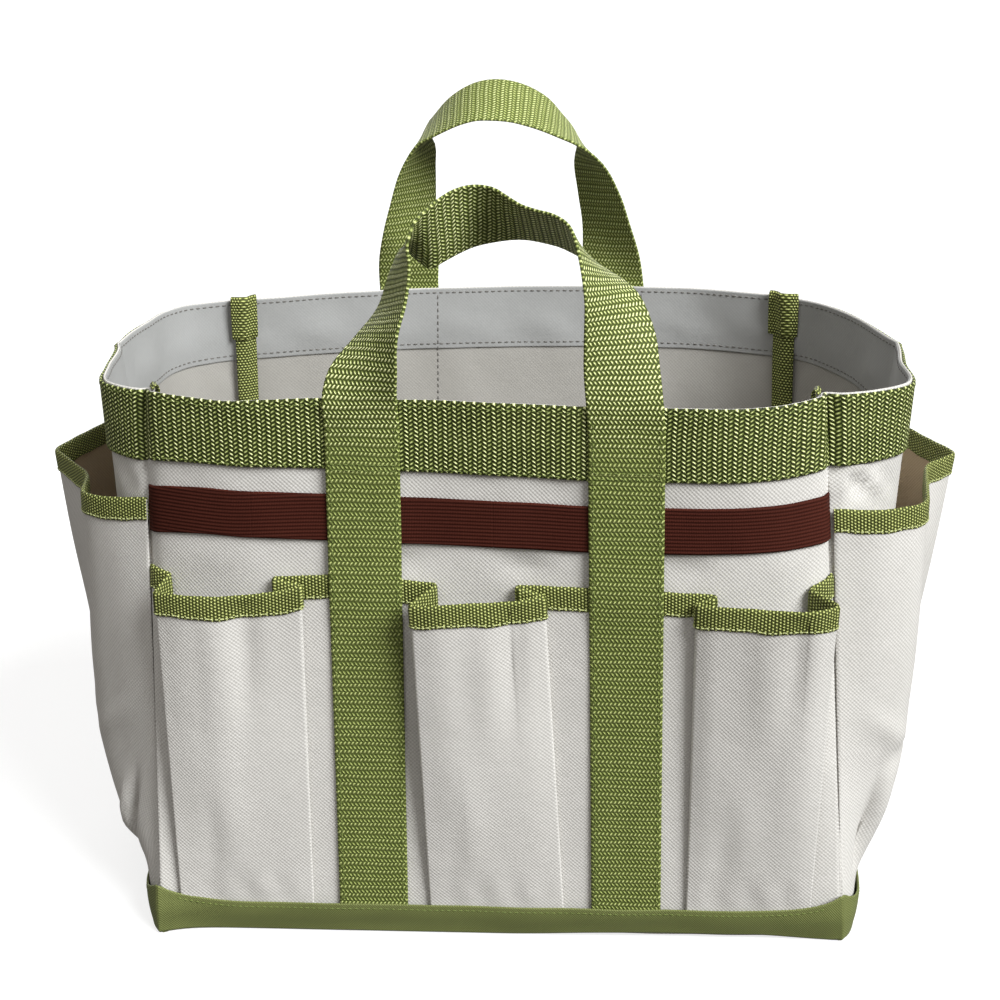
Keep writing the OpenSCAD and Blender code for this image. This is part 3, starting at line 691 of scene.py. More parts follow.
# ---------------------------------------------------------------- elastic
for face in "FB":
    nm = FACE_NAME[face]
    for k, x0, x1 in (("left", None, -66.5), ("centre", -66.5, 66.5), ("right", 66.5, None)):
        z = rows(231.9, 256.1, 2.2)
        xl, xr = seam_x(face, z)
        lo = xl + 0.8 if x0 is None else np.full_like(z, x0)
        hi = xr - 0.8 if x1 is None else np.full_like(z, x1)
        mid = (lo + hi) / 2
        for half, a0, a1, tag in ((0, lo, mid, "a"), (1, mid, hi, "b")):
            n = rows(0, 1, 1 / 18, 0.01)
            x = mix(a0[:, None], a1[:, None], n[None, :])
            zz = z[:, None] + (band_rise(x) if face == "F" else 0 * x)
            sag = 0.5 * np.sin(x / 12.0 + 1.0) + 0.35 * np.sin(x / 5.1)
            P = W(face, x, zz, 1.25 + 0.12 * sag)
            part = slab(P, 1.25, x, zz)
            # the blend points are set at the edge of the strap that holds the loop down
            xa = (float(a0.mean()) if half or x0 is None else x0 + 20.8) * 0.001
            xb = (float(a1.mean()) if not half or x1 is None else x1 - 20.8) * 0.001
            s, e = ((xa, 0, 0.24), (xb, 0, 0.24)) if half == 0 else ((xb, 0, 0.24), (xa, 0, 0.24))
            put(mesh(f"{nm}_{k}_elastic_{tag}", part, ELASTIC), blend=("bag", f"{nm}_{k}_elastic_loop", s, e),
                reps=[f"{nm}_{k}_elastic"])

# ---------------------------------------------------------------- front and back pockets
# mouth points from left to right: flat start, back fold, front fold, front, front fold, back fold, flat end
POCKETS = {
    "F": {
        "left": dict(b0=-171, f0=(-177, -129.5, 206.5), mid=[(-164.5, -133.5, 206), (-145, -135, 206), (-126.5, -132.5, 206.3), (-112.5, -131.5, 208)],
                     f1=(-100, -131.5, 210.8), b1=-114, zf=(213, 213.5), bot=(-166, -177, -103, -113), zb=(211, 212.6)),
        "centre": dict(b0=-30.5, f0=(-42, -143.5, 206), mid=[(-28.5, -144, 206), (-14.5, -140.8, 206), (4, -138, 206), (14, -137, 206.3)],
                       f1=(26, -134, 207.5), b1=12, zf=(213, 210.5), bot=(-26, -37, 36, 25), zb=(209.5, 210)),
        "right": dict(b0=113, f0=(103.5, -139, 206), mid=[(111.5, -141.8, 206), (137, -144.5, 206), (155.5, -147.5, 206), (165.5, -146, 206.2)],
                      f1=(174.5, -139.5, 206.4), b1=162.5, zf=(210.5, 212), bot=(114, 104, 171, 161), zb=(208, 208)),
    },
    "B": {
        "left": dict(b0=-160, f0=(-170, 135, 206), mid=[(-158, 139, 206), (-138, 142.5, 206), (-120, 145, 206), (-110, 146, 206)],
                     f1=(-99, 146, 206.5), b1=-110, zf=(210, 210), bot=(-163, -174, -102, -113), zb=(209, 209)),
        "centre": dict(b0=-25, f0=(-36, 152, 206), mid=[(-24, 154, 206), (-8, 155, 206), (10, 155, 206), (25, 154.5, 206)],
                       f1=(36, 153.5, 206), b1=25, zf=(210, 210), bot=(-26, -37, 37, 26), zb=(209, 209)),
        "right": dict(b0=112, f0=(101, 149.5, 206), mid=[(112, 150, 206), (124, 149.5, 206), (140, 147, 206), (160, 142, 206)],
                      f1=(172, 138.5, 206), b1=162, zf=(210, 210), bot=(113, 102, 174, 163), zb=(209, 209)),
    },
}


def rounded(C, cut, nstr, nb=6):
    """C is (rows, points, 3): corners cut back by cut (rows, points) and rounded. Returns a grid (rows, samples, 3)."""
    R, K, _ = C.shape
    seg = np.linalg.norm(np.diff(C, axis=1), axis=2)
    d = unit(np.diff(C, axis=1))
    cc = np.zeros((R, K))
    cc[:, 1:-1] = np.minimum(cut[:, 1:-1], 0.46 * np.minimum(seg[:, :-1], seg[:, 1:]))
    out = []
    for k in range(K - 1):
        a = C[:, k] + d[:, k] * cc[:, k, None]
        b = C[:, k + 1] - d[:, k] * cc[:, k + 1, None]
        for q in np.linspace(0, 1, nstr[k] + 1)[:-1] if nstr[k] > 0 else ():
            out.append(mix(a, b, q))
        if k < K - 2:
            e = C[:, k + 1] + d[:, k + 1] * cc[:, k + 1, None]
            for q in np.linspace(0, 1, nb + 1)[:-1]:
                out.append((1 - q) ** 2 * b + 2 * q * (1 - q) * C[:, k + 1] + q * q * e)
    out.append(C[:, -1])
    return np.stack(out, 1)


def pocket_path(face, k, zr):
    """Control polyline of a pocket strip at height fractions zr."""
    g = POCKETS[face][k]
    side = -1 if face == "F" else 1
    fold = 3.2
    wm, wb = 1.55, 0.75
    x0m = seam_x(face, 210.0)[0] + 1.0 if k == "left" else {"centre": -66.8, "right": 66.8}[k]
    x1m = seam_x(face, 210.0)[1] - 1.0 if k == "right" else {"left": -66.8, "centre": 66.8}[k]
    x0b = seam_x(face, 20.0)[0] + 1.0 if k == "left" else {"centre": -69.8, "right": 69.8}[k]
    x1b = seam_x(face, 20.0)[1] - 1.0 if k == "right" else {"left": -69.8, "centre": 69.8}[k]
    bb0, bf0, bf1, bb1 = g["bot"]
    zbot = 17.0

    def wall(x, z, o):
        return W(face, A(x), A(z), o)[0]
    top, bot, cut, n = [], [], [], []

    def add(t, b, ct, cb, ns):
        top.append(t); bot.append(b); cut.append((ct, cb)); n.append(ns)
    for q in (0, 0.33, 0.66):
        z = mix(g["zf"][0], g["zb"][0], q)
        add(wall(mix(x0m, g["b0"], q), z, wm), wall(mix(x0b, bb0, q), zbot, wb), 4, 4, 3)
    add(wall(g["b0"], g["zb"][0], wm), wall(bb0, zbot, wb), 1.7, 0.5, 0)
    w0 = wall(g["b0"], g["zb"][0], wm) + A(0, side * fold, 0)
    add(w0, wall(bb0, zbot, wb + 1.0), 1.7, 0.5, 4)
    add(A(*g["f0"]) - A(0, side * fold, 0), wall(bf0, zbot, 2.0), 1.7, 0.5, 0)
    add(A(*g["f0"]), wall(bf0, zbot, 3.0), 1.7, 0.5, 3)
    for i, m_ in enumerate(g["mid"]):
        fr = (m_[0] - g["f0"][0]) / (g["f1"][0] - g["f0"][0])
        add(A(*m_), wall(mix(bf0, bf1, fr), zbot, 3.0), 6, 6, 5)
    add(A(*g["f1"]), wall(bf1, zbot, 3.0), 1.7, 0.5, 0)
    add(A(*g["f1"]) - A(0, side * fold, 0), wall(bf1, zbot, 2.0), 1.7, 0.5, 4)
    w1 = wall(g["b1"], g["zb"][1], wm) + A(0, side * fold, 0)
    add(w1, wall(bb1, zbot, wb + 1.0), 1.7, 0.5, 0)
    add(wall(g["b1"], g["zb"][1], wm), wall(bb1, zbot, wb), 1.7, 0.5, 3)
    for q in (0.33, 0.66, 1.0):
        z = mix(g["zb"][1], g["zf"][1], q)
        add(wall(mix(g["b1"], x1m, q), z, wm), wall(mix(bb1, x1b, q), zbot, wb), 4, 4, 3)
    top, bot, cut = np.array(top), np.array(bot), np.array(cut)
    r = zr[:, None, None]
    C = mix(bot[None], top[None], r)
    # the front bellies a little between its folds
    belly = (zr * (1 - zr) * 4)[:, None]
    fr = np.zeros(len(top))
    fr[7:11] = (0.7, 1, 1, 0.7)
    C[:, :, 1] += side * 1.6 * belly * fr[None, :]
    ct = mix(cut[None, :, 1], cut[None, :, 0], zr[:, None])
    return rounded(C, ct, n)


def arc_len(P):
    """Length along each row of a grid, from its first point."""
    d = np.linalg.norm(np.diff(P, axis=1), axis=2)
    return np.concatenate([np.zeros((P.shape[0], 1)), np.cumsum(d, axis=1)], 1)


def u_tape(cloth, depth, off):
    """Tape folded over the top edge of a cloth. cloth(d) is the cloth's line of points d mm below that edge."""
    top = cloth(0.0)
    up = unit(top - cloth(depth))
    prof = [(1.0, -1.0), (1.0, -0.94), (1.06, -0.7), (1.06, -0.45), (1.05, -0.2), (1.0, -0.06), (0.75, 0.03), (0.35, 0.07), (0, 0.085)]
    prof = prof + [(-a, b) for a, b in prof[-2::-1]]
    P = []
    l = np.r_[0, np.cumsum(np.linalg.norm(np.diff(top, axis=0), axis=1))][:, None]
    lift = 0.32 * np.sin(l / 6.1 + 1) + 0.22 * np.sin(l / 2.7)
    for a, h in prof:
        base = top + up * h * depth if h >= 0 else cloth(-h * depth)
        base = base + up * lift * (1.0 if h < -0.5 else 0.4)
        nn = unit(np.cross(unit(np.gradient(base, axis=0)), up))
        P.append(base + nn * a * off)
    P = np.array(P)
    V = np.r_[0, np.cumsum(np.linalg.norm(np.diff(P.mean(1), axis=0), axis=1))]
    row = cloth(0.92 * depth) + up * lift
    nn = unit(np.cross(unit(np.gradient(row, axis=0)), up))
    return P, V, row, nn


def line_below(P):
    """Lines across a cloth grid, by depth below its top edge."""
    drop = np.linalg.norm(P - P[-1:], axis=2)
    def fn(d):
        return np.array([[np.interp(d, drop[::-1, j], P[::-1, j, i]) for i in range(3)] for j in range(P.shape[1])])
    return fn


def pocket_bodies(face, k):
    nm = FACE_NAME[face]
    g = POCKETS[face][k]
    cx = 0.5 * (g["b0"] + g["b1"])
    a = W(face, A(g["b0"]), A(205.0), 2.6)[0]
    b = W(face, A(g["b1"]), A(205.0), 2.6)[0]
    m_ = 0.5 * (a + b)
    d = unit(np.cross(b - a, A(0, 0, 1))) * (1 if face == "F" else -1)
    far = np.array(g["mid"][1]) * 0.5 + np.array(g["mid"][2]) * 0.5
    reach = float(((far - m_) @ d) * 0.92)
    # the blend start is set past the cloth under the straps
    xs = {"left": [-88, -77, -65], "centre": [-67, -56, -46, 46, 56, 67], "right": [65, 77, 88]}[k]
    under = max(float(((W(face, A(*xs), np.full(len(xs), zz), 3.2) - m_) @ d).max()) for zz in (130.0, 170.0, 207.0))
    lead = max(under + 0.2, 0.0)
    s, e = (m_ + d * lead) * 0.001, (m_ + d * (lead + reach)) * 0.001
    return ("bag", f"{nm}_{k}_pocket_mouth", tuple(float(v) for v in s), tuple(float(v) for v in e))


for face in "FB":
    nm = FACE_NAME[face]
    for k in ("left", "centre", "right"):
        zr = rows(0, 1, 1 / 44, 0.004)
        P = pocket_path(face, k, zr)
        U = arc_len(P)
        U = U - U[:, U.shape[1] // 2][:, None]
        flip = face == "B"
        Vv = np.broadcast_to((zr * 192)[:, None], U.shape)
        # soft hollows below the mouth, and small ripples where the front is sewn in
        zz = zr[:, None]
        nrm = unit(np.cross(np.gradient(P, axis=1), np.gradient(P, axis=0))) * (1 if face == "F" else -1)
        g = POCKETS[face][k]
        fx = (P[..., 0] - g["f0"][0]) / (g["f1"][0] - g["f0"][0])
        nf = P.shape[1]
        front = np.zeros(nf)
        front[nf // 2 - 22:nf // 2 + 23] = np.sin(np.linspace(0, math.pi, 45)) ** 0.6
        c = {"left": 0.62, "centre": 0.80, "right": 0.74}[k]
        d = -2.2 * gauss(fx, c - 0.10 * (1 - zz), 0.09) * gauss(zz, 0.86, 0.2)
        d = d + 1.3 * gauss(fx, c - 0.24, 0.12) * gauss(zz, 0.8, 0.22)
        d = d + 1.2 * gauss(fx + 0.25 * zz, 0.45, 0.16) * gauss(zz, 0.33, 0.2)
        d = d - 0.9 * gauss(fx - 0.2 * zz, 0.22, 0.08) * gauss(zz, 0.22, 0.14)
        d = d + 0.5 * np.sin(fx * 23) * gauss(zz, 0.06, 0.05)
        P = P + nrm * (d * front[None, :] * ease(zz / 0.05) * ease((1.0 - zz) / 0.03))[..., None]
        part = slab(P, 0.9, U, Vv)
        bl = pocket_bodies(face, k)
        reps = [f"{nm}_{k}_pocket", f"{nm}_{k}_pleats"] + ([nm + "_pocket_web"] if k == "centre" else [])
        put(mesh(f"{nm}_{k}_pocket_cloth", part, CANVAS), blend=bl, reps=reps)
        T, V, row, nn = u_tape(line_below(P), 11.6, 0.95)
        tu = arc_len(T)[8]
        part = slab(T, 0.6, tu[None, :], V[:, None])
        put(mesh(f"{nm}_{k}_pocket_tape", part, TAPE), blend=bl,
            reps=[f"{nm}_{k}_pocket_binding"] + ([nm + "_web_binding"] if k == "centre" else []))
        sgn = 1 if not flip else -1
        ob = mesh(f"{nm}_{k}_pocket_thread", stitches(row + nn * sgn * 1.27, nn * sgn, pitch=2.6, length=1.9, r=0.42), THREAD_L)
        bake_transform(ob)

# ---------------------------------------------------------------- end pockets
ZH = A(17, 30, 50, 84, 138, 190, 246)
ENDP = {
    "L": [  # front seam, valley, pleat, hollow, outermost, behind, side, corner, back seam
        [(-189.6, -125.2), (-197.4, -114), (-200.6, -99), (-202.4, -52), (-202.8, -10), (-202.4, 38), (-202.2, 76), (-199.9, 105), (-189.4, 122.5)],
        [(-189.2, -122.5), (-197.8, -113.5), (-202.5, -99), (-207.5, -52), (-210, -10), (-208, 38), (-206, 76), (-201.5, 105), (-188.3, 121.2)],
        [(-188.6, -119.6), (-199.5, -112.5), (-212.5, -97), (-225, -52), (-229, -10), (-225, 38), (-216, 75), (-203, 104), (-187, 119.6)],
        [(-187.6, -117.4), (-200, -108.5), (-223.5, -90), (-237, -51), (-244, -12), (-243, 38), (-231, 72), (-212, 101), (-184.7, 117.8)],
        [(-186, -114.2), (-202, -106), (-228, -85), (-235, -51), (-249.5, -12), (-247, 38), (-236, 70), (-214, 98), (-181, 114.8)],
        [(-184.6, -111.2), (-203, -103), (-226, -86.5), (-232.5, -53), (-256, -12), (-248, 38), (-236, 68), (-215, 96), (-177.8, 112)],
        [(-183, -107.8), (-203, -101), (-224, -89), (-229.5, -54), (-261.5, -11), (-247, 39), (-236, 66), (-216, 93), (-174, 109)],
    ],
    "R": [
        [(189.6, -122.8), (196.4, -112), (199, -100), (202, -52), (202.8, -10), (202.4, 38), (202.2, 76), (199.9, 105), (189.4, 122.5)],
        [(188.8, -121.4), (196.4, -111), (199.6, -101), (205, -50), (208, -10), (207, 38), (205.5, 76), (201.5, 105), (188.5, 121.2)],
        [(187, -120), (196, -110), (204, -102), (219.5, -48), (225, -10), (222, 38), (214, 75), (203, 104), (187.3, 120.5)],
        [(184.8, -118.4), (198, -109), (217.5, -100.5), (229.5, -46), (236.5, -10), (236, 37), (225, 71), (208, 101), (185.4, 120)],
        [(181, -115.6), (203, -110), (222.5, -99.5), (232, -40), (242.5, -9), (239, 36), (228, 68), (210, 98), (182.4, 119)],
        [(177.8, -113), (202, -110), (224.5, -98), (235, -34), (249.5, -9), (239.5, 35), (228, 66), (210, 96), (179.5, 118)],
        [(174.2, -110.2), (199, -108.5), (224.5, -97), (236, -30), (256.5, -10), (239, 34.5), (228, 64), (210, 94), (176.5, 117)],
    ],
}


GROOVE = {"L": (24.0, -0.22), "R": (21.0, 0.14)}


def end_pocket(face):
    C0 = np.array(ENDP[face], float)                    # height, point, xy
    zt = np.array([250.5, 248.3, 246, 245.5, 246, 246, 246, 246, 246] if face == "L" else [247.5, 246.5, 246, 245.5, 246, 246, 246, 246, 246])
    zr = rows(0, 1, 1 / 52, 0.004)
    C = []
    for i in range(C0.shape[1]):
        z = mix(17.0, zt[i], zr)
        xy = crv(z * 246 / zt[i], ZH, C0[:, i])
        C.append(np.concatenate([xy, z[:, None]], 1))
    C = np.stack(C, 1)
    cut = np.tile(A(0, 9, 13, 8, 5, 16, 16, 16, 0), (len(zr), 1))
    lowk = np.clip((C[:, 0, 2] - 40) / 120, 0, 1)[:, None]
    cut = mix(np.tile(A(0, 3.5, 12, 16, 16, 18, 18, 16, 0), (len(zr), 1)), cut, lowk)
    P = rounded(C, cut, [7, 8, 8, 8, 12, 8, 8, 10], nb=7)
    # soft wrinkles: a diagonal one by the front pleat, and sag folds over the base
    s = arc_len(P)
    z = P[..., 2]
    n = unit(np.cross(np.gradient(P, axis=1), np.gradient(P, axis=0))) * SIGN[face]
    d = 1.6 * gauss((s - 34) * 0.6 + (z - 118) * 0.8, 0, 6) * gauss(z, 118, 26) * gauss(s, 36, 22)
    if face == "L":
        q = s - GROOVE[face][0] - GROOVE[face][1] * (z - 60)
        d = d + (-8.5 * gauss(q, 0, 3.0) + 3.0 * gauss(q, 7.5, 4.5)) * gauss(z, 60, 20)
    else:
        q = s - GROOVE[face][0] - GROOVE[face][1] * (z - 60)
        d = d + (-5.5 * gauss(q, 0, 4.5) + 2.6 * gauss(q, 11, 5.5)) * gauss(z, 58, 27)
        d = d - 1.8 * gauss((z - 104) - 0.35 * (s - 44), 0, 6) * gauss(s, 46, 16)
    d = d + 1.2 * np.sin(s / 21 + z / 34) * gauss(z, 110, 60) * np.sin(np.pi * np.clip(s / s.max(), 0, 1))
    d = d - 1.4 * gauss(s + 0.5 * (z - 90), 84, 9) * gauss(z, 70, 24)
    P = P + n * (d * ease((z - 20) / 20) * ease((244 - z) / 20))[..., None]
    return P, zr


for face, en in (("L", "left"), ("R", "right")):
    P, zr = end_pocket(face)
    U = arc_len(P)
    U = U - U[:, U.shape[1] // 2][:, None]
    V = np.broadcast_to((zr * 236)[:, None], U.shape)
    part = slab(P, 0.9, U, V)
    sx = -1 if face == "L" else 1
    bl = ("bag", f"{en}_end_pocket_mouth", (sx * 0.196, 0, 0.2), (sx * 0.246, 0, 0.2))
    quads = (P.shape[0] - 1) * (P.shape[1] - 1)
    inside = slice(quads, 2 * quads) if face == "R" else slice(0, quads)
    put(mesh(f"{en}_end_pocket_cloth", part, CANVAS, (POCKET_IN_PAINTED_LIGHT, inside)), blend=bl, reps=[f"{en}_end_pocket", f"{en}_end_gussets"])
    T, Vv, row, nn = u_tape(line_below(P), 11.2, 0.95)
    tu = arc_len(T)[8]
    part = slab(T, 0.6, tu[None, :], Vv[:, None])
    put(mesh(f"{en}_end_pocket_tape", part, TAPE), blend=bl, reps=[f"{en}_end_pocket_binding"])
    sg = SIGN[face]
    ob = mesh(f"{en}_end_pocket_thread", stitches(row + nn * sg * 1.27, nn * sg, pitch=2.6, length=1.9, r=0.42), THREAD_L)
    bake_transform(ob)

# ---------------------------------------------------------------- base
BAND = {"F": "front_base_band", "B": "back_base_band", "L": "left_base_band", "R": "right_base_band"}
band = {}
for face in "FBLR":
    q = rows(0, 1, 1 / 9, 0.03)
    n = rows(0, 360, 4.0) / 360
    s = 2 * n - 1
    ztop = 20.0 + 9.0 * np.abs(s) ** 12
    x_ = 190 * s
    low = 2.0 + (2.2 * ease(x_ / 80) * (1 - ease((x_ - 140) / 40)) if face == "F" else 0 * x_)
    z = low[None, :] + (ztop - low)[None, :] * q[:, None]
    if face in "FB":
        xl, xr = seam_x(face, z)
        a = mix(xl, xr, n[None, :])
        u = a
        proud = mix(1.0, 4.3, ease(z / 18))
        proud = proud + 0.5 * gauss(np.abs(a), 70, 21) * ease(z / 18)
    else:
        a = np.broadcast_to(n[None, :], z.shape)
        u = a * 250
        proud = mix(1.0, 3.0, ease(z / 18))
    soft = 0.4 * np.sin(u / 23 + 1) * ease(z / 10) + 0.25 * np.sin(u / 8.5) * ease(z / 10)
    P = W(face, a, z, proud + soft)
    # the lower edge turns under the floor
    n0 = normal(face, a[0], z[0])
    under = np.stack([P[0] - n0 * 5 + A(0, 0, -1.2), P[0] - n0 * 2.2 + A(0, 0, -1.15), P[0] - n0 * 0.6 + A(0, 0, -0.7)])
    under[..., 2] = np.maximum(under[..., 2], 0.62)
    P = np.concatenate([under, P])
    zz = np.concatenate([np.tile(A(-5, -2, -0.8)[:, None], (1, z.shape[1])), z])
    uu = np.concatenate([u[:1], u[:1], u[:1], u])
    band[face] = [P, uu, zz]
    N = normal(face, a[-1], z[-1])
    lowz = z[-1] - 2.6
    pr = np.array([np.interp(lowz[j], z[:, j], (proud + soft)[:, j]) for j in range(z.shape[1])])
    aa = a[-1] if face not in "FB" else mix(seam_x(face, lowz)[0], seam_x(face, lowz)[1], n)
    threads["green"].append(stitches(W(face, aa, lowz, pr + 0.58)[3:-3], N[3:-3], pitch=3.4))

# each corner is closed by running both bands on to the line where they meet
edge = {(f_, e_): band[f_][0][:, e_].copy() for f_ in "FBLR" for e_ in (0, -1)}
MEET = {("F", 0): ("L", 0), ("F", -1): ("R", 0), ("B", 0): ("L", -1), ("B", -1): ("R", -1)}
for fa, fb in MEET.items():
    ea, eb = edge[fa], edge[fb]
    K = np.stack([mix(ea[:, 0], eb[:, 0], 0.25), mix(ea[:, 1], eb[:, 1], 0.12), (ea[:, 2] + eb[:, 2]) / 2], -1)
    for (f_, e_), own in ((fa, ea), (fb, eb)):
        P, uu, zz = band[f_]
        more = [mix(own, K, 0.5), mix(own, K, 0.92)]
        du = np.linalg.norm(K - own, axis=1)
        if e_ == 0:
            P = np.concatenate([np.stack(more[::-1], 1), P], 1)
            uu = np.concatenate([np.stack([uu[:, 0] - 0.92 * du, uu[:, 0] - 0.5 * du], 1), uu], 1)
            zz = np.concatenate([zz[:, :1], zz[:, :1], zz], 1)
        else:
            P = np.concatenate([P, np.stack(more, 1)], 1)
            uu = np.concatenate([uu, np.stack([uu[:, -1] + 0.5 * du, uu[:, -1] + 0.92 * du], 1)], 1)
            zz = np.concatenate([zz, zz[:, -1:], zz[:, -1:]], 1)
        band[f_] = [P, uu, zz]
for face in "FBLR":
    P, uu, zz = band[face]
    put(mesh(BAND[face] + "_cloth", slab(P, 1.1, uu, zz), BASE), reps=[BAND[face]])

# underside
yy = rows(-120.5, 120.5, 8)
xx = rows(-1, 1, 2 / 46, 0.004)
half = 188 + 9.5 * (1 - np.abs(yy / 122.5) ** 8)
P = np.stack([xx[None, :] * half[:, None], np.broadcast_to(yy[:, None], (len(yy), len(xx))), np.full((len(yy), len(xx)), 0.75)], -1)
P[..., 2] += 0.5 * (1 - np.abs(xx[None, :]) ** 4) * (1 - np.abs(yy[:, None] / 121) ** 4)
put(mesh("base_underside_cloth", slab(P, 1.1, P[..., 0], P[..., 1]), BASE), reps=["base_panel"])

# stiffening board, with rounded corners
def rounded_rect(hx, hy, r, n=6):
    pts = []
    for cx, cy, a0 in ((hx - r, hy - r, 0), (-hx + r, hy - r, 90), (-hx + r, -hy + r, 180), (hx - r, -hy + r, 270)):
        for a in np.linspace(a0, a0 + 90, n):
            pts.append((cx + r * math.cos(math.radians(a)), cy + r * math.sin(math.radians(a))))
    return np.array(pts)


loops = []
for hx, z, in ((183.0, 1.9), (184.6, 2.3), (185.0, 3.0), (184.6, 3.9), (183.0, 4.3)):
    q = rounded_rect(hx, hx - 67.5, 12)
    loops.append(np.concatenate([q, np.full((len(q), 1), z)], 1))
loops = [np.concatenate([mix(loops[0].mean(0), loops[0], f)[:, :2], np.full((len(loops[0]), 1), 1.9)], 1) for f in (0.02, 0.5)] + loops
loops += [np.concatenate([mix(loops[-1].mean(0), loops[-1], f)[:, :2], np.full((len(loops[0]), 1), 4.3)], 1) for f in (0.5, 0.02)]
L_ = np.array(loops)
m_, n_ = L_.shape[:2]
V = L_.reshape(-1, 3)
I, J = np.meshgrid(np.arange(m_ - 1), np.arange(n_), indexing="ij")
F = np.stack([I * n_ + J, I * n_ + (J + 1) % n_, (I + 1) * n_ + (J + 1) % n_, (I + 1) * n_ + J], -1).reshape(-1, 4)
ob = mesh("base_board_sheet", (V, F, V[:, :2]), BOARD)
import bmesh
bm = bmesh.new()
bm.from_mesh(ob.data)
bmesh.ops.holes_fill(bm, edges=[e for e in bm.edges if e.is_boundary], sides=0)
bmesh.ops.recalc_face_normals(bm, faces=bm.faces)
bm.to_mesh(ob.data)
bm.free()
put(ob, reps=["base_board"])

# floor lining over the board, its edges turned up a little
yy, xx = rows(-120, 120, 6), rows(-1, 1, 2 / 64, 0.003)
half = 186 + 8.8 * (1 - np.abs(yy / 122.5) ** 8)
X, Y = xx[None, :] * half[:, None], np.broadcast_to(yy[:, None], (len(yy), len(xx)))
edge = np.minimum(half[:, None] - np.abs(X), 120 - np.abs(Y))
Z = 5.4 + 3.0 * np.exp(-(edge / 5.0) ** 2) + 0.25 * np.sin(X / 27 + 1) * np.sin(Y / 19)
put(mesh("floor_lining_cloth", slab(np.stack([X, Y, Z], -1), 0.8, X, Y), LINING), reps=["floor_lining"])

# ---------------------------------------------------------------- corner bindings inside
for face in "FB":
    for end, en in ((-1, "left"), (1, "right")):
        zs = rows(11, 305, 5)
        slip = 0.0 if face == "F" else 6.5 if end < 0 else 6.0

        def at(d, z, o):
            xl, xr = seam_x(face, z)
            d = d - slip * (z / H) ** 2
            return W(face, xl + d if end < 0 else xr - d, z, o)
        prof = [(2.0, -1.7), (3.0, -1.7), (7.0, -1.75), (10.5, -1.8), (12.2, -2.2), (12.7, -2.9), (12.2, -3.6), (10.5, -4.0), (7.0, -4.2), (3.5, -4.3), (2.2, -4.3)]
        P = np.stack([at(d, zs, o) for d, o in prof], 0)
        V = np.r_[0, np.cumsum(np.linalg.norm(np.diff(P.mean(1), axis=0), axis=1))]
        fl = (face == "F") == (end < 0)
        strip = slab(P, 0.6, zs[None, :], V[:, None])
        # its end, folded over the rim
        ds = rows(0.4, (13.5 if end < 0 else 15.0) if face == "B" else 6.5, 1.6)
        line = [(284, -5.2), (286, -5.3), (293, -5.4), (300, -5.3), (305, -5.2), (308, -5.0), (309.8, -4.5), (310.7, -3.6), (310.8, -2.6), (310.1, -1.7), (308.9, -1.1)]
        P = np.stack([at(ds, np.full_like(ds, z), o) for z, o in line], 0)
        V = np.r_[0, np.cumsum(np.linalg.norm(np.diff(P.mean(1), axis=0), axis=1))]
        tab = slab(P, 0.7, V[:, None], ds[None, :])
        ob = mesh(f"{FACE_NAME[face]}_{en}_corner_tape", join([strip, tab]), TAPE)
        put(ob, reps=[f"{FACE_NAME[face]}_{en}_corner_binding"])

for name, parts in threads.items():
    ob = mesh("stitching_" + name, join(parts), THREAD_G if name == "green" else THREAD_W)
    put(ob)

# ---------------------------------------------------------------- stage, light and camera
me = bpy.data.meshes.new("floor")
me.from_pydata([(-40, -40, 0), (40, -40, 0), (40, 40, 0), (-40, 40, 0)], [], [(0, 1, 2, 3)])
lay = me.uv_layers.new(name="weave")
floor = bpy.data.objects.new("floor", me)
scene.collection.objects.link(floor)
fm = Mat("floor_white")
nz = fm.noise(0.02, 0.02, 3, 0.5, 1)
fm.b.inputs["Emission Color"].default_value = (1, 1, 1, 1)
fm.b.inputs["Emission Strength"].default_value = 0.72
me.materials.append(fm.done(fm.ramp(nz, [(0.3, (0.35, 0.35, 0.35)), (0.7, (0.37, 0.37, 0.37))]), 0.8, nz, 0.05, 0.2, spec=0.0))
floor.visible_diffuse = floor.visible_glossy = False
floor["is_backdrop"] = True

# plain backdrop far away, so that low views see no horizon
ring = [(38 * math.cos(q * math.pi / 24), 38 * math.sin(q * math.pi / 24)) for q in range(48)]
bv = [(x, y, z) for z in (-1.0, 30.0) for x, y in ring]
bf = [(q, (q + 1) % 48, 48 + (q + 1) % 48, 48 + q) for q in range(48)]
me = bpy.data.meshes.new("backdrop")
me.from_pydata(bv, [], bf)
me.uv_layers.new(name="weave")
drop = bpy.data.objects.new("backdrop", me)
scene.collection.objects.link(drop)
dm = Mat("backdrop_white")
dz = dm.noise(0.02, 0.02, 3, 0.5, 1)
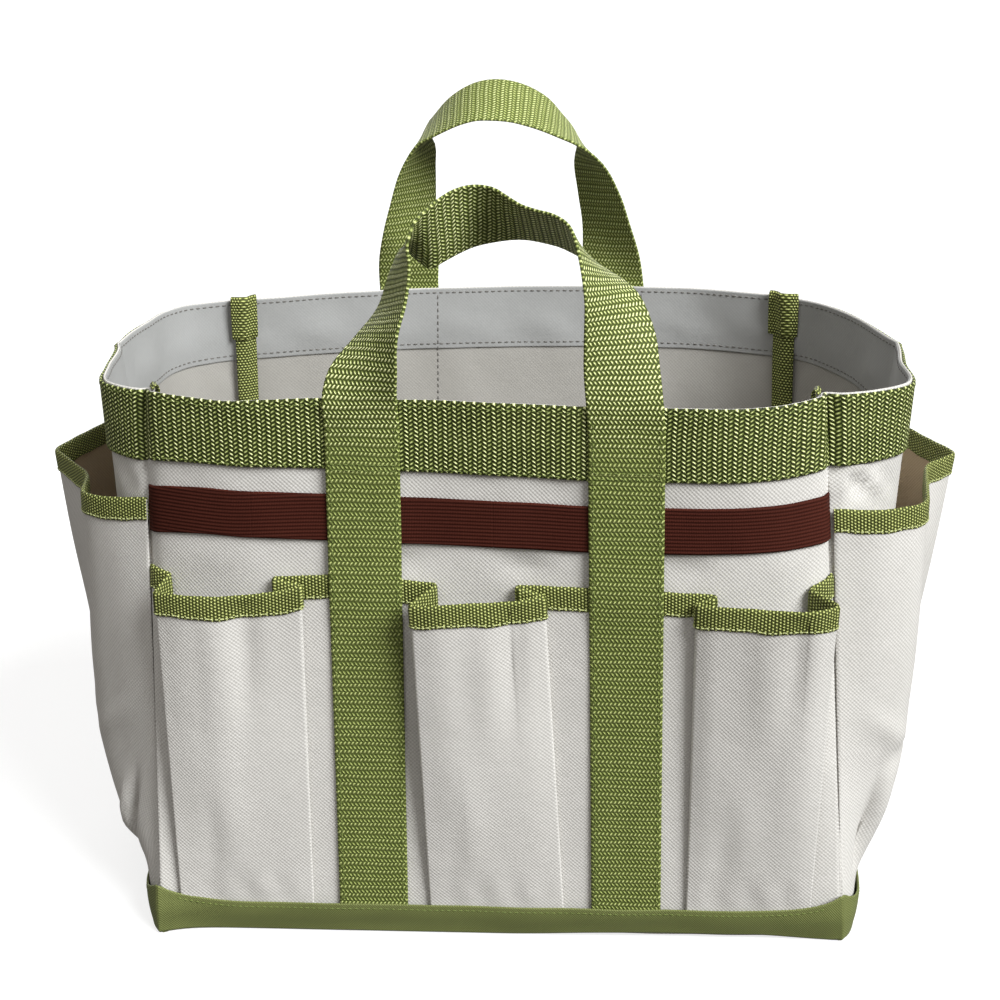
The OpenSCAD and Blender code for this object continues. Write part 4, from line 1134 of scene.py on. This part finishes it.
dm.b.inputs["Emission Color"].default_value = (1, 1, 1, 1)
dm.b.inputs["Emission Strength"].default_value = 1.0
me.materials.append(dm.done(dm.ramp(dz, [(0.3, (0.3, 0.3, 0.3)), (0.7, (0.32, 0.32, 0.32))]), 0.8, dz, 0.05, 0.2, spec=0.0))
drop.visible_diffuse = drop.visible_glossy = drop.visible_shadow = False
drop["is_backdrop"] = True

world = bpy.data.worlds.new("world")
world.use_nodes = True
bg = world.node_tree.nodes["Background"]
bg.inputs[0].default_value = (1.0, 0.955, 0.90, 1)
bg.inputs[1].default_value = 0.21
scene.world = world


def sun(name, to, strength, angle, colour=(1, 1, 1)):
    li = bpy.data.lights.new(name, "SUN")
    li.energy = strength
    li.angle = math.radians(angle)
    li.color = colour
    o = bpy.data.objects.new(name, li)
    o.rotation_euler = Vector(to).normalized().to_track_quat("Z", "Y").to_euler()
    scene.collection.objects.link(o)
    return o


sun("key", (0.60, -0.46, 0.65), 5.0, 30, (0.975, 0.992, 1.0))
sun("top", (-0.20, -0.45, 0.87), 0.9, 60, (1.0, 0.995, 0.985))
sun("back", (-0.08, 0.94, 0.33), 1.4, 60, (1.0, 0.995, 0.985))

cam = bpy.data.cameras.new("camera")
cam.lens, cam.sensor_width, cam.shift_y = 60.33, 36.0, -0.016
cam.clip_start, cam.clip_end = 0.01, 100
co = bpy.data.objects.new("camera", cam)
az, el, roll = math.radians(3.0), math.radians(19.21), math.radians(-0.63)
back = Vector((math.sin(az) * math.cos(el), -math.cos(az) * math.cos(el), math.sin(el)))
right = Vector((math.cos(az), math.sin(az), 0))
upv = back.cross(right)
R_ = right * math.cos(roll) + upv * math.sin(roll)
U_ = upv * math.cos(roll) - right * math.sin(roll)
loc = Vector((-0.003, 0, 0.22284)) + back * 0.9805
M = Matrix((R_, U_, back)).transposed().to_4x4()
M.translation = loc
co.matrix_world = M
scene.collection.objects.link(co)
scene.camera = co
scene.view_settings.view_transform = "Standard"
scene.view_settings.look = "None"

lo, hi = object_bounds()
